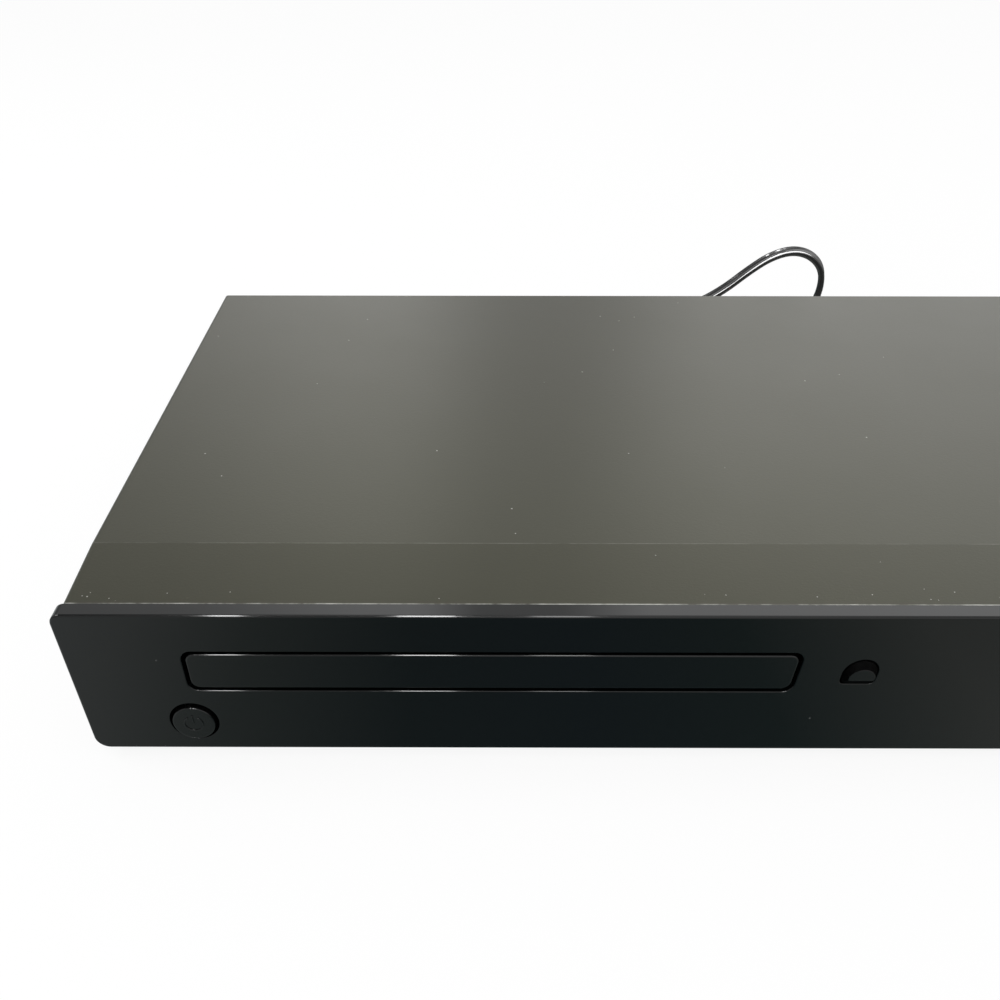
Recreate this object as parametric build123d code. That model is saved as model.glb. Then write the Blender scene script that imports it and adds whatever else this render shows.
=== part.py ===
# Slim disc player with a motor-driven tray, a folded steel cover and a captive two-core mains lead.
# Millimetres. X to the right, the front faces -Y, Z up from the surface that the player stands on.
# The origin is under the middle of the player's own box, without the free cord.

import os
from math import acos, asin, atan2, cos, degrees, hypot, pi, radians, sin, sqrt, tan

from build123d import *

# Overall sizes
body_width = 360.0           # across the front panel
body_depth = 205.0           # front panel's face to the cover's back
panel_height = 43.0
panel_lift = 3.0             # standing surface to the panel's lower edge
chassis_lift = 4.0           # standing surface to the underside of the steel chassis
sheet = 0.8                  # steel sheet
button_proud = 0.85          # buttons stand this far out of the panel
jack_reach = 9.0             # sockets stand this far out of the back
touch_gap = 0.3              # between pieces that move past each other

# Front panel
panel_lip = 4.5              # depth of the panel's full outline, in front of the cover
panel_wall = 2.2
panel_skirt = 14.0           # how far the panel reaches back, under the cover
panel_top_radius = 2.75
panel_bottom_radius = 3.6
panel_edge = 0.6             # rounding of the face's outer edge
opening_edge = 0.25          # rounding at the openings for the door, window and buttons

# Cover
cover_inset = 1.7            # the cover's side is this far inside the panel's side
cover_gap = 0.3              # dust gap between the panel's lip and the cover
cover_drop = 1.25            # the front strip falls this much below the top
cover_crease = 28.0          # panel's face to the crease
cover_bend = 1.5             # outer radius of the folded sides
cover_rise = 1.0             # the top lies this much above the panel's upper edge
cover_back_lip = 7.0
side_slots = 9
side_slot_pitch = 6.5
side_slot_width = 2.2
side_slot_height = 14.0
side_slot_first = 18.0       # cover's back to the first side slot
rear_slots = 12
rear_slot_pitch = 6.5
rear_slot_width = 2.4
rear_slot_low = 24.0
rear_slot_set = 15.2         # back wall's right end to the first slot in it

# Tray door and tray
door_width = 145.8           # opening in the panel
door_height = 12.3
door_radius = 2.7
door_gap = 0.9
door_thickness = 3.0
loader_x = -79.5             # middle of the door and the loader
door_z = 29.3                # middle of the door above the standing surface
tray_width = 126.8
tray_rail = 2.6              # the tray's runners stand out this far at each side
tray_rail_height = 2.0
tray_length = 167.5
tray_rim = 7.4               # height of the tray's moulding
tray_travel = 130.0
disc_well_radius = 60.5      # for a 120 mm disc
small_well_radius = 40.6     # for an 80 mm disc
disc_well_depth = 2.4
small_well_depth = 1.6
tray_wall = 2.0
tray_slot = 35.0             # open at the back, for the turntable and the pickup
tray_front_margin = 5.0

# Round buttons
power_side = 26.9            # panel's end to the button's middle
power_z = 12.7
round_hole = 6.05            # radius of the hole in the panel
round_gap = 0.8
button_travel = 0.5
button_edge = 0.3

# Arched open and close button
eject_x = 7.9
eject_low = 25.85
eject_width = 8.3
eject_height = 7.5
eject_corner = 1.2
eject_gap = 0.3
eject_proud = 1.4            # the flat face stands this far out of the panel
eject_face_width = 6.1
eject_face_low = 2.3         # hole's lower edge to the flat face
eject_face_height = 3.2
eject_face_side = 1.1        # straight part of the flat face's sides
eject_face_corner = 0.4

# Display window
window_side = 92.0           # panel's right end to the window's middle
window_width = 64.0
window_height = 14.0
window_radius = 2.0

# Front board and switches
board_thickness = 1.6
front_board_set = 9.5        # panel's face to the board
switch_body = 6.0
switch_height = 3.2
switch_plunger = 1.1
peg_radius = 2.5

# Loader frame
loader_wall = 2.5
loader_half = 71.0           # half width outside the side walls
loader_set = 16.0            # panel's face to the loader's front
loader_length = 166.0
deck_z = 12.0                # underside of the loader's deck
deck_thickness = 2.0
loader_top = 36.5            # top of the side walls
bay_front = 28.5             # loader's front to the traverse bay
bay_gap = 4.0                # traverse's side to the bay's side
bay_length = 126.0

# Loading gears
gear_module = 1.0            # rack and last pinion
fine_module = 0.8            # first stage
pressure_angle = 25.0
backlash = 0.2
rack_pinion_teeth = 16
large_gear_teeth = 30
small_pinion_teeth = 12
gear_face = 2.4
gear_post = 1.5              # radius of the posts that the gears turn on
running_gap = 0.05
drive_gear_dx = 52.0         # drive gear's axle from the loader's middle
gear_row_y = 13.0            # gear axles behind the loader's front
motor_dx = -8.0
motor_radius = 12.0
motor_height = 12.2
motor_shaft = 1.0
large_pulley = 12.0
small_pulley = 3.6
pulley_thickness = 2.0
belt_side = 1.2
belt_set = 0.1               # belt's clearance in its grooves

# Cam slider and traverse
traverse_drop = 2.4          # degrees, when the tray is unlocked
cam_travel = 12.0
cam_plate = 2.0
cam_foot = 6.0               # the slider's foot reaches this far in front of the bay
cam_foot_z = 0.3
cam_foot_height = 1.4
traverse_pin = 1.5
pin_inset = 5.0              # traverse's left side to its front pin
traverse_plate = 2.0
traverse_half = 47.0
turntable_radius = 14.0
clamper_radius = 14.5
clamp_gap = 1.6              # turntable's face to the clamper, which a disc fills
bridge_z = 37.4              # underside of the bridge's raised middle
bridge_hole = 9.0
spindle_radius = 12.5
rod_radius = 1.5
rod_inset = 21.0             # traverse's side to a guide rod's middle
sled_travel = 35.0
sled_length = 24.0
sled_motor_radius = 5.0
screw_inset = 11.5           # traverse's left side to the lead screw's middle
screw_radius = 1.5
screw_pitch = 3.0            # travel of the sled for one turn of the lead screw

# Boards behind the loader and to the right of it
standoff = 6.0
board_loader_gap = 4.5       # loader's right wall to the main board
main_board_width = 59.0
main_board_set = 58.6        # panel's face to the main board
main_board_back = 2.4        # cover's back to the main board
board_gap = 5.0              # between the two boards
power_board_side = 6.5       # cover's inside to the power board
power_board_set = 72.6
power_board_back = 8.4
jack_pitch = 14.0
jack_side = 8.0              # main board's left edge to the first socket
jack_z = 18.0
jack_barrel = 4.15           # radius of a phono socket's shell
jack_seat = 3.9              # the shell's radius inside its ring and block
jack_bore = 1.65             # the pin's hole in the socket's middle
jack_ring = 5.4
jack_ring_proud = 1.4        # the ring stands this far out of the back
ribbon_thickness = 0.4
ribbon_z = 14.5              # height of the ribbon at the front board

# Feet and screws
foot_radius = 11.0
foot_side = 30.0             # panel's end to the foot's middle
foot_front = 30.0
foot_back = 25.0
pad_radius = 8.0
pad_thickness = 1.4
screw_head = 3.0
screw_head_height = 1.6
screw_shank = 1.5
side_screw_z = 9.6
back_screw_side = 30.0       # panel's end to the outer screws in the back
back_screw_drop = 4.0        # top of the cover to those screws

# Mains lead: flat two-core cord, its width stands for the diameter
cord_width = 4.4
gland_x = 68.0
gland_z = 18.0
gland_neck = 4.2
gland_tail = 16.0            # how far the strain relief stands out of the back
coil_x = -74.0
coil_set = 22.075            # back of the cover to the cord where it joins the coil
coil_pitch = 5.0             # from turn to turn and from layer to layer
coil_turns = 4               # in each of the two layers
coil_inner = 14.4            # radius of the innermost turn's middle
tie_thickness = 0.6
tie_width = 8.0
tie_gap = 0.2
plug_width = 35.3
plug_thickness = 15.2
plug_length = 34.0
plug_relief = 14.0
plug_set = 35.0              # coil's middle to the plug's strain relief
pin_radius = 2.0
pin_length = 19.0
pin_spacing = 18.6

# Places that follow from the sizes above
front_y = button_proud - (body_depth + jack_reach + button_proud) / 2
back_y = front_y + body_depth
panel_top = panel_lift + panel_height
cover_top = panel_top + cover_rise
cover_half = body_width / 2 - cover_inset
cover_front = front_y + panel_lip + cover_gap
inner_half = cover_half - sheet
power_x = -body_width / 2 + power_side
play_x = -power_x
window_x = body_width / 2 - window_side
back_screw_x = (back_screw_side - body_width / 2, 0, body_width / 2 - back_screw_side)
back_screw_z = cover_top - back_screw_drop
floor_top = chassis_lift + sheet
door_face = front_y
tray_front = door_face + door_thickness
tray_low = door_z - 4.7
tray_top = tray_low + tray_rim
tray_back = tray_front + tray_length
disc_y = tray_front + tray_front_margin + disc_well_radius
disc_floor = tray_top - disc_well_depth
loader_front = front_y + loader_set
loader_back = loader_front + loader_length
deck_top = deck_z + deck_thickness
bay_y = loader_front + bay_front
gear_y = loader_front + gear_row_y
drive_x = loader_x + drive_gear_dx
rack_pitch_x = drive_x - gear_module * rack_pinion_teeth / 2
stage_distance = fine_module * (large_gear_teeth + small_pinion_teeth) / 2
pulley_x = drive_x - stage_distance
motor_x = loader_x + motor_dx
large_gear_z = deck_top + 1.9
bay_half = traverse_half + bay_gap
rod_dx = traverse_half - rod_inset
screw_dx = traverse_half - screw_inset
pin_x = loader_x - traverse_half + pin_inset
hub_z = large_gear_z + gear_face
pulley_z = hub_z + 1.6
rack_gear_z = tray_low + 0.1
main_board_x = (loader_x + loader_half + board_loader_gap, loader_x + loader_half + board_loader_gap + main_board_width)
main_board_y = (front_y + main_board_set, back_y - main_board_back)
power_board_x = (main_board_x[1] + board_gap, inner_half - power_board_side)
power_board_y = (front_y + power_board_set, back_y - power_board_back)
jack_first_x = main_board_x[0] + jack_side
board_end = inner_half - 6.5
board_pegs = [
    (4.0 - board_end, 17.0),
    (eject_x - 48.0, 11.0),
    (window_x - 48.0, 36.0),
    (window_x + 44.0, 36.0),
    (play_x - 21.0, 11.0),
    (board_end - 4.0, 17.0),
]
coil_outer = coil_inner + coil_pitch * coil_turns
coil_low = cord_width / 2 + tie_thickness + tie_gap
lead_y = back_y + coil_set
coil_y = lead_y + coil_outer

# Middle of the cord from the strain relief, over the standing loop, down to the coil's first turn
cord_route = [
    (gland_x, back_y + gland_tail, gland_z),
    (68, 122.4, 18),
    (68.3, 129.4, 22),
    (70, 133.4, 29.2),
    (72.5, 134.2, 37.8),
    (70.4, 133.8, 46.8),
    (63.7, 133, 52.5),
    (55.1, 132, 54.5),
    (46.4, 131.5, 52.1),
    (38.4, 131, 46.7),
    (30, 131, 39.4),
    (20, 131, 33.2),
    (8, 130.4, 30.2),
    (-6, 129, 27.5),
    (-20, 126.5, 21),
    (-34, 123.5, 12),
    (-47, 121.3, 5.5),
    (-58, 120.5, 3),
    (coil_x + cord_width, lead_y, coil_low),
]


def block(x, y, z):
    """Box between the given pairs of low and high values."""
    middle = Pos((x[0] + x[1]) / 2, (y[0] + y[1]) / 2, (z[0] + z[1]) / 2)
    return middle * Box(x[1] - x[0], y[1] - y[0], z[1] - z[0])


def post(radius, x, y, z):
    """Upright cylinder between two heights."""
    return Pos(x, y, (z[0] + z[1]) / 2) * Cylinder(radius, z[1] - z[0])


def bar_y(radius, x, z, y):
    """Cylinder along Y between two depths."""
    return Pos(x, (y[0] + y[1]) / 2, z) * Rot(90, 0, 0) * Cylinder(radius, y[1] - y[0])


def bar_x(radius, y, z, x):
    """Cylinder along X between two places."""
    return Pos((x[0] + x[1]) / 2, y, z) * Rot(0, 90, 0) * Cylinder(radius, x[1] - x[0])


def across(sketch, x):
    """Solid from an outline drawn in Y and Z, between two places along X."""
    return extrude(Plane.YZ.offset(x[0]) * sketch, amount=x[1] - x[0], dir=(1, 0, 0))


def along(sketch, y):
    """Solid from an outline drawn in X and Z, between two places along Y."""
    return extrude(Plane.XZ.offset(-y[1]) * sketch, amount=y[1] - y[0], dir=(0, -1, 0))


def upright(sketch, z):
    """Solid from an outline drawn in X and Y, between two heights."""
    return extrude(Plane.XY.offset(z[0]) * sketch, amount=z[1] - z[0], dir=(0, 0, 1))


def rounded(x, z, width, height, radius):
    """Outline of a rounded rectangle about its middle."""
    return Pos(x, z) * RectangleRounded(width, height, radius)


def save(name, *solids):
    """Write one node: one solid, or several like ones."""
    shape = solids[0] if len(solids) == 1 else Compound(children=list(solids))
    export_step(shape, f"parts/{name}.step")


# Casing


def panel_outline(inset=0.0):
    """The panel's outline in X and Z, with its tighter upper corners."""
    low = panel_lift + inset
    high = panel_top - inset
    face = Pos(0, (low + high) / 2) * Rectangle(body_width - 2 * inset, high - low)
    face = fillet(face.vertices().group_by(Axis.Y)[-1], panel_top_radius)
    return fillet(face.vertices().group_by(Axis.Y)[0], panel_bottom_radius)


def arch_outline(half, low, spring, top, corner):
    """Flat bottom with rounded corners, straight sides up to the spring line and a round top."""
    near = corner * (1 - sqrt(0.5))
    right = eject_x + half
    left = eject_x - half
    edges = [
        Line((left + corner, low), (right - corner, low)),
        ThreePointArc((right - corner, low), (right - near, low + near), (right, low + corner)),
        Line((right, low + corner), (right, spring)),
        ThreePointArc((right, spring), (eject_x, top), (left, spring)),
        Line((left, spring), (left, low + corner)),
        ThreePointArc((left, low + corner), (left + near, low + near), (left + corner, low)),
    ]
    return make_face(Wire([line.edge() for line in edges]))


def eject_outline(gap=0.0):
    """Arch of the open and close button."""
    half = eject_width / 2 - gap
    spring = eject_low + eject_height - eject_width / 2
    return arch_outline(half, eject_low + gap, spring, spring + half, eject_corner)


def eject_face():
    """Half-moon outline of that button's flat face."""
    low = eject_low + eject_face_low
    top = low + eject_face_height
    return arch_outline(eject_face_width / 2, low, low + eject_face_side, top, eject_face_corner)


def skirt_block(inset, y):
    """The panel's rear skirt or its inside, which the cover slides over."""
    half = inner_half - touch_gap - inset
    low = floor_top + 0.2 + inset
    high = cover_top - cover_drop - sheet - 0.05 - inset
    return block((-half, half), y, (low, high))


def door_opening(extra=0.0):
    return rounded(loader_x, door_z, door_width + 2 * extra, door_height + 2 * extra, door_radius + extra)


def window_opening(extra=0.0):
    width = window_width + 2 * extra
    height = window_height + 2 * extra
    return rounded(window_x, door_z, width, height, window_radius + extra)


def make_front_panel():
    face = along(panel_outline(), (front_y, front_y + panel_lip))
    face = fillet(face.faces().sort_by(Axis.Y)[0].edges(), panel_edge)
    wall_back = front_y + panel_wall
    skirt_back = front_y + panel_skirt
    panel = face + skirt_block(0, (front_y + panel_lip, skirt_back))
    panel -= skirt_block(panel_wall, (wall_back, skirt_back))
    collar = along(door_opening(1.5), (wall_back, front_y + 8.5))
    pegs = [bar_y(peg_radius, x, z, (wall_back, front_y + front_board_set)) for x, z in board_pegs]
    for extra in [collar] + pegs:
        panel += extra
    panel -= along(door_opening(), (front_y, front_y + 8.5))
    panel -= along(eject_outline(), (front_y, wall_back))
    panel -= along(window_opening(), (front_y, wall_back))
    for x in (power_x, play_x):
        panel -= bar_y(round_hole, x, power_z, (front_y, wall_back + 2 * touch_gap + button_travel))
    return fillet([e for e in panel.edges() if is_opening_rim(e)], opening_edge)


def is_opening_rim(edge):
    """True for the front edge of an opening, and not for the panel's own outline."""
    middle = edge.position_at(0.5)
    inside = abs(middle.X) < body_width / 2 - panel_lip and panel_lift + 2 < middle.Z < panel_top - 2
    return inside and abs(middle.Y - front_y) < 0.01 and abs(edge.tangent_at(0.5).Y) < 0.1


def make_display_window():
    pane = along(window_opening(-0.15), (front_y + 0.05, front_y + panel_wall))
    return pane + along(window_opening(1.2), (front_y + panel_wall, front_y + panel_wall + 1.0))


def cover_profile(inset, bottom):
    """Side view of the folded sheet: the top, the crease and the falling front strip."""
    top = cover_top - inset
    points = [
        (cover_front, bottom),
        (cover_front, top - cover_drop),
        (front_y + cover_crease, top),
        (back_y - inset, top),
        (back_y - inset, bottom),
    ]
    return Polygon(*points, align=None)


def folded_block(inset, bottom):
    """Block under the folded sheet, with the bent edges at both sides of the top."""
    half = cover_half - inset
    shape = across(cover_profile(inset, bottom), (-half, half))
    bends = [e for e in shape.edges() if is_top_side_edge(e, half)]
    return fillet(bends, cover_bend - inset)


def is_top_side_edge(edge, half):
    middle = edge.position_at(0.5)
    runs_back = abs(edge.tangent_at(0.5).Y) > 0.9
    return runs_back and abs(abs(middle.X) - half) < 0.01 and middle.Z > panel_top - 2 * cover_drop


def make_top_cover():
    cover = folded_block(0, chassis_lift) - folded_block(sheet, chassis_lift)
    cover -= block((-cover_half, cover_half), (back_y - sheet, back_y), (chassis_lift, cover_top - cover_back_lip))
    for k in range(side_slots):
        y = back_y - side_slot_first - k * side_slot_pitch
        slot = (y - side_slot_width / 2, y + side_slot_width / 2)
        cover -= block((-cover_half, cover_half), slot, (door_z - side_slot_height / 2, door_z + side_slot_height / 2))
    for side in (-1, 1):
        for y in side_screw_places():
            cover -= bar_x(screw_shank + 0.1, y, side_screw_z, (side * cover_half - 1, side * cover_half + 1))
    for x in back_screw_x:
        cover -= bar_y(screw_shank + 0.1, x, back_screw_z, (back_y - sheet, back_y))
    return cover


def side_screw_places():
    return (front_y + 45.0, back_y - 40.0)


def make_bottom_chassis():
    start = front_y + 5.0
    end = back_y - sheet
    side_lip = 12.0
    pan = block((-inner_half, inner_half), (start, end), (chassis_lift, floor_top))
    for side in (-1, 1):
        lip = sorted((side * inner_half, side * (inner_half - sheet)))
        pan += block(lip, (front_y + panel_skirt + 0.5, end), (chassis_lift, floor_top + side_lip))
    for x in (-120.0, -40.0, 40.0, 120.0):
        pan += block((x - 4, x + 4), (front_y + 40, back_y - 60), (floor_top, floor_top + 0.6))
        pan -= block((x - 3, x + 3), (front_y + 41, back_y - 61), (chassis_lift, chassis_lift + 0.6))
    for x, y in board_posts() + loader_posts():
        top = deck_z if (x, y) in loader_posts() else floor_top + standoff
        pan += post(3.5, x, y, (floor_top, top)) - post(screw_shank - 0.1, x, y, (floor_top, top))
    for k in range(8):
        y = power_board_y[1] - 20 - 8 * k
        slot = (power_board_x[0] + 20, power_board_x[0] + 50)
        pan -= block(slot, (y - 1.5, y + 1.5), (chassis_lift, floor_top))
    for x, y in foot_places():
        pan -= post(2.6, x, y, (chassis_lift, floor_top))
    for side in (-1, 1):
        for y in side_screw_places():
            pan -= bar_x(screw_shank - 0.1, y, side_screw_z, (side * inner_half - 1, side * inner_half + 1))
    return pan


def board_posts():
    """Places of the stamped posts under the two boards, each a little inside a corner."""
    places = []
    for xs, ys in ((main_board_x, main_board_y), (power_board_x, power_board_y)):
        for x in (xs[0] + 5, xs[1] - 5):
            for y in (ys[0] + 5, ys[1] - 26):
                places.append((x, y))
    return places


def loader_posts():
    """Places of the four posts that carry the loader at its corners."""
    dx = loader_half - 8
    ys = (loader_front + 6, loader_back - 8)
    return [(loader_x + sx * dx, y) for sx in (-1, 1) for y in ys]


def foot_places():
    ys = (front_y + foot_front, back_y - foot_back)
    dx = body_width / 2 - foot_side
    return [(x, y) for x in (-dx, dx) for y in ys]


def jack_places():
    return [jack_first_x + k * jack_pitch for k in range(4)]


def make_rear_panel():
    half = inner_half - sheet - 0.05
    outer = back_y - sheet
    top = cover_top - sheet
    wall = block((-half, half), (outer - sheet, outer), (floor_top, top))
    wall += block((-half, half), (outer - 9, outer), (top - sheet, top))
    wall += block((-half, half), (outer - 9, outer), (floor_top, floor_top + sheet))
    through = (outer - sheet, outer)
    for x in jack_places():
        wall -= bar_y(jack_ring + 0.15, x, jack_z, through)
    wall -= bar_y(gland_neck + 0.05, gland_x, gland_z, through)
    for x in back_screw_x:
        wall -= bar_y(screw_shank - 0.1, x, back_screw_z, through)
    for k in range(rear_slots):
        x = half - rear_slot_set - rear_slot_pitch * k
        slot = (x - rear_slot_width / 2, x + rear_slot_width / 2)
        wall -= block(slot, through, (rear_slot_low, rear_slot_low + side_slot_height))
    return wall


def make_foot(x, y):
    """Moulded foot with a split stud in the chassis and a recess for its pad."""
    height = chassis_lift - 0.5
    foot = Pos(0, 0, 0.5 + height / 2) * Cylinder(foot_radius, height)
    foot = fillet(foot.edges().sort_by(Axis.Z)[0], 1.0)
    foot -= post(pad_radius + 0.1, 0, 0, (0.5, pad_thickness))
    foot += post(2.5, 0, 0, (chassis_lift, floor_top)) + post(3.2, 0, 0, (floor_top, floor_top + 1.6))
    return Pos(x, y, 0) * foot


def make_foot_pad(x, y):
    return post(pad_radius, x, y, (0, pad_thickness))


def pan_screw(length):
    """Pan-head screw, its head's seat at the origin, its shank down the Z axis."""
    head = Pos(0, 0, screw_head_height / 2) * Cylinder(screw_head, screw_head_height)
    head = fillet(head.edges().sort_by(Axis.Z)[-1], 0.8)
    head -= Pos(0, 0, screw_head_height) * Box(3.4, 0.7, 1.4)
    head -= Pos(0, 0, screw_head_height) * Box(0.7, 3.4, 1.4)
    return head + Pos(0, 0, -length / 2) * Cylinder(screw_shank - 0.15, length)


def make_cover_screws():
    screws = []
    for side in (-1, 1):
        for y in side_screw_places():
            screws.append(Pos(side * cover_half, y, side_screw_z) * Rot(0, side * 90, 0) * pan_screw(4.0))
    for x in back_screw_x:
        screws.append(Pos(x, back_y, back_screw_z) * Rot(-90, 0, 0) * pan_screw(4.0))
    return screws


# Door and buttons


def make_tray_door():
    width = door_width - 2 * door_gap
    height = door_height - 2 * door_gap
    outline = rounded(loader_x, door_z, width, height, door_radius - door_gap / 2)
    door = along(outline, (door_face, tray_front))
    door = fillet(door.faces().sort_by(Axis.Y)[0].edges(), 0.5)
    pocket = rounded(loader_x, door_z, width - 3.6, height - 3.6, 0.8)
    door -= along(pocket, (tray_front - 1.2, tray_front))
    for dx in (-50, 0, 50):
        x = loader_x + dx
        door += block((x - 4, x + 4), (tray_front - 1.2, tray_front), (door_z - height / 2 + 1, door_z + height / 2 - 1))
    return door


def make_round_button(x):
    """Round button: a cap through the panel, a flange behind it and a stem to its switch."""
    radius = round_hole - round_gap
    flange = front_y + panel_wall + touch_gap
    cap = bar_y(radius, x, power_z, (front_y - button_proud, flange))
    cap = fillet(cap.edges().sort_by(Axis.Y)[0], button_edge)
    reach = round_hole + 1.1
    low = floor_top + 0.2 + panel_wall + touch_gap
    collar = bar_y(reach, x, power_z, (flange, flange + 1.0))
    cap += collar & block((x - reach, x + reach), (flange, flange + 1.0), (low, power_z + reach))
    return cap + bar_y(2.0, x, power_z, (flange + 1.0, stem_end()))


def stem_end():
    """A pressed button stops just short of its switch."""
    return front_y + front_board_set - switch_height - switch_plunger - button_travel - 0.1


def make_eject_button():
    """Arched button: a half-moon face on a sloping flank, and a flange behind the panel."""
    flange = front_y + panel_wall + touch_gap
    base = Plane.XZ.offset(-front_y) * eject_outline(eject_gap)
    face = Plane.XZ.offset(eject_proud - front_y) * eject_face()
    button = loft([base.face(), face.face()], ruled=True)
    button += along(eject_outline(eject_gap), (front_y, flange))
    middle = eject_low + eject_height / 2
    button += along(eject_outline(-0.9), (flange, flange + 1.0))
    return button + bar_y(1.6, eject_x, middle, (flange + 1.0, stem_end()))


def make_front_board():
    y = (front_y + front_board_set, front_y + front_board_set + board_thickness)
    low = block((-board_end, board_end), y, (8.0, tray_low - 2.5))
    board = low + block((0, board_end), y, (8.0, 40.0))
    for x, z in board_pegs:
        board -= bar_y(1.0, x, z, y)
    return board


def switch_places():
    middle = eject_low + eject_height / 2
    return [(power_x, power_z), (eject_x, middle), (play_x, power_z)]


def make_tact_switch(x, z):
    face = front_y + front_board_set
    half = switch_body / 2
    body = block((x - half, x + half), (face - switch_height, face), (z - half, z + half))
    body = chamfer(body.edges().filter_by(Axis.Y), 0.5)
    return body + bar_y(1.7, x, z, (face - switch_height - switch_plunger, face - switch_height))


def make_display_module():
    face = front_y + front_board_set
    front = front_y + panel_wall + 1.4
    body = block((window_x - 27, window_x + 17), (front, face), (door_z - 6.5, door_z + 6.5))
    for k in range(4):
        x = window_x - 21.5 + 10.5 * k
        body -= block((x - 3.6, x + 3.6), (front, front + 0.4), (door_z - 5, door_z + 5))
    return body


def make_remote_receiver():
    face = front_y + front_board_set
    x = window_x + 25
    body = block((x - 3.5, x + 3.5), (face - 3.6, face), (door_z - 4, door_z + 4))
    lens = Pos(x, face - 3.6, door_z) * Sphere(2.2)
    return body + lens & block((x - 4, x + 4), (face - 5.6, face), (door_z - 5, door_z + 5))


# Gears


def involute(angle):
    return tan(angle) - angle


def gear_outline(module, teeth, turn=0.0):
    """Spur gear outline with involute flanks; turn is where the first tooth points, in degrees."""
    pitch = module * teeth / 2
    base = pitch * cos(radians(pressure_angle))
    tip = pitch + 0.85 * module
    root = pitch - 1.15 * module
    half_at_pitch = (pi * module / 2 - backlash / 2) / (2 * pitch)
    start = max(base, root)
    flank = []
    if root < base:
        flank.append((root, half_at_pitch + involute(radians(pressure_angle))))
    for k in range(4):
        radius = start + (tip - start) * k / 3
        spread = involute(acos(base / radius)) if radius > base else 0.0
        flank.append((radius, half_at_pitch + involute(radians(pressure_angle)) - spread))
    points = []
    for tooth in range(teeth):
        middle = radians(turn) + 2 * pi * tooth / teeth
        for radius, half in flank:
            points.append((radius * cos(middle - half), radius * sin(middle - half)))
        for radius, half in reversed(flank):
            points.append((radius * cos(middle + half), radius * sin(middle + half)))
    return Polygon(*points, align=None)


def gear(module, teeth, x, y, z, turn=0.0):
    return upright(Pos(x, y) * gear_outline(module, teeth, turn), z)


def make_rack():
    """Rack under the tray: trapezoid teeth that face the drive gear."""
    pitch = pi * gear_module
    slope = tan(radians(pressure_angle))
    tip = rack_pitch_x + 0.85 * gear_module
    root = rack_pitch_x - 1.15 * gear_module
    half_tip = pitch / 4 - backlash / 4 - 0.85 * gear_module * slope
    half_root = pitch / 4 - backlash / 4 + 1.15 * gear_module * slope
    back = root - 3.0
    before = 2
    count = int(tray_travel / pitch) + 2 * before + 1
    first = gear_y - before * pitch + pitch / 2
    start = first - pitch
    end = first + count * pitch
    points = [(back, start), (root, start)]
    for k in range(count):
        y = first + k * pitch
        points += [(root, y - half_root), (tip, y - half_tip), (tip, y + half_tip), (root, y + half_root)]
    points += [(root, end), (back, end)]
    return upright(Polygon(*points, align=None), (rack_gear_z, rack_gear_z + gear_face)), (back, root), (start, end)


def make_disc_tray():
    half = tray_width / 2
    rear = tray_back
    body = block((loader_x - half, loader_x + half), (tray_front, rear), (tray_low, tray_top))
    body = fillet(body.edges().filter_by(Axis.Z).group_by(Axis.Y)[-1], 3.0)
    rail_z = rail_height()
    for side in (-1, 1):
        rail = sorted((loader_x + side * (half - 0.5), loader_x + side * (half + tray_rail)))
        body += block(rail, (tray_front + 6, rear - 4), rail_z)
    well_floor = disc_floor
    small_floor = disc_floor - small_well_depth
    body -= post(disc_well_radius, loader_x, disc_y, (well_floor, tray_top))
    body -= post(small_well_radius, loader_x, disc_y, (small_floor, tray_top))
    inside = (loader_x - half + tray_wall, loader_x + half - tray_wall)
    depth = (tray_front + tray_wall, rear - tray_wall)
    body -= block(inside, depth, (tray_low, small_floor - tray_wall + 0.4))
    hollow = block(inside, depth, (tray_low, well_floor - tray_wall))
    body -= hollow - post(small_well_radius + tray_wall, loader_x, disc_y, (tray_low, tray_top))
    hollow = block(inside, depth, (tray_low, tray_top - tray_wall))
    body -= hollow - post(disc_well_radius + tray_wall, loader_x, disc_y, (tray_low, tray_top))
    for dx in (-30.0, 30.0):
        rib = (loader_x + dx - 0.75, loader_x + dx + 0.75)
        body += block(rib, depth, (tray_low, small_floor))
    rack, rack_x, rack_y = make_rack()
    for y in (disc_y - 50, disc_y + 50):
        body += block((inside[0], rack_x[0]), (y - 0.75, y + 0.75), (tray_low, well_floor - 0.5))
    body += block(rack_x, rack_y, (rack_gear_z, well_floor)) + rack
    slot = Pos(loader_x, disc_y) * Circle(tray_slot / 2)
    slot += Pos(loader_x, (disc_y + rear + 5) / 2) * Rectangle(tray_slot, rear + 5 - disc_y)
    body -= upright(slot, (tray_low - 1, tray_top))
    for side in (-1, 1):
        x = loader_x + side * (tray_slot / 2 + tray_wall / 2)
        body += block((x - tray_wall / 2, x + tray_wall / 2), (disc_y + 10, rear), (tray_low, small_floor))
    for side in (-1, 1):
        grip = Pos(loader_x + side * disc_well_radius, disc_y) * Circle(8.0)
        body -= upright(grip, (well_floor, tray_top)) & block(inside, depth, (tray_low, tray_top))
    return body


def rail_height():
    """Lower and upper face of the tray's runners."""
    low = tray_low + 1.4
    return (low, low + tray_rail_height)


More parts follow.
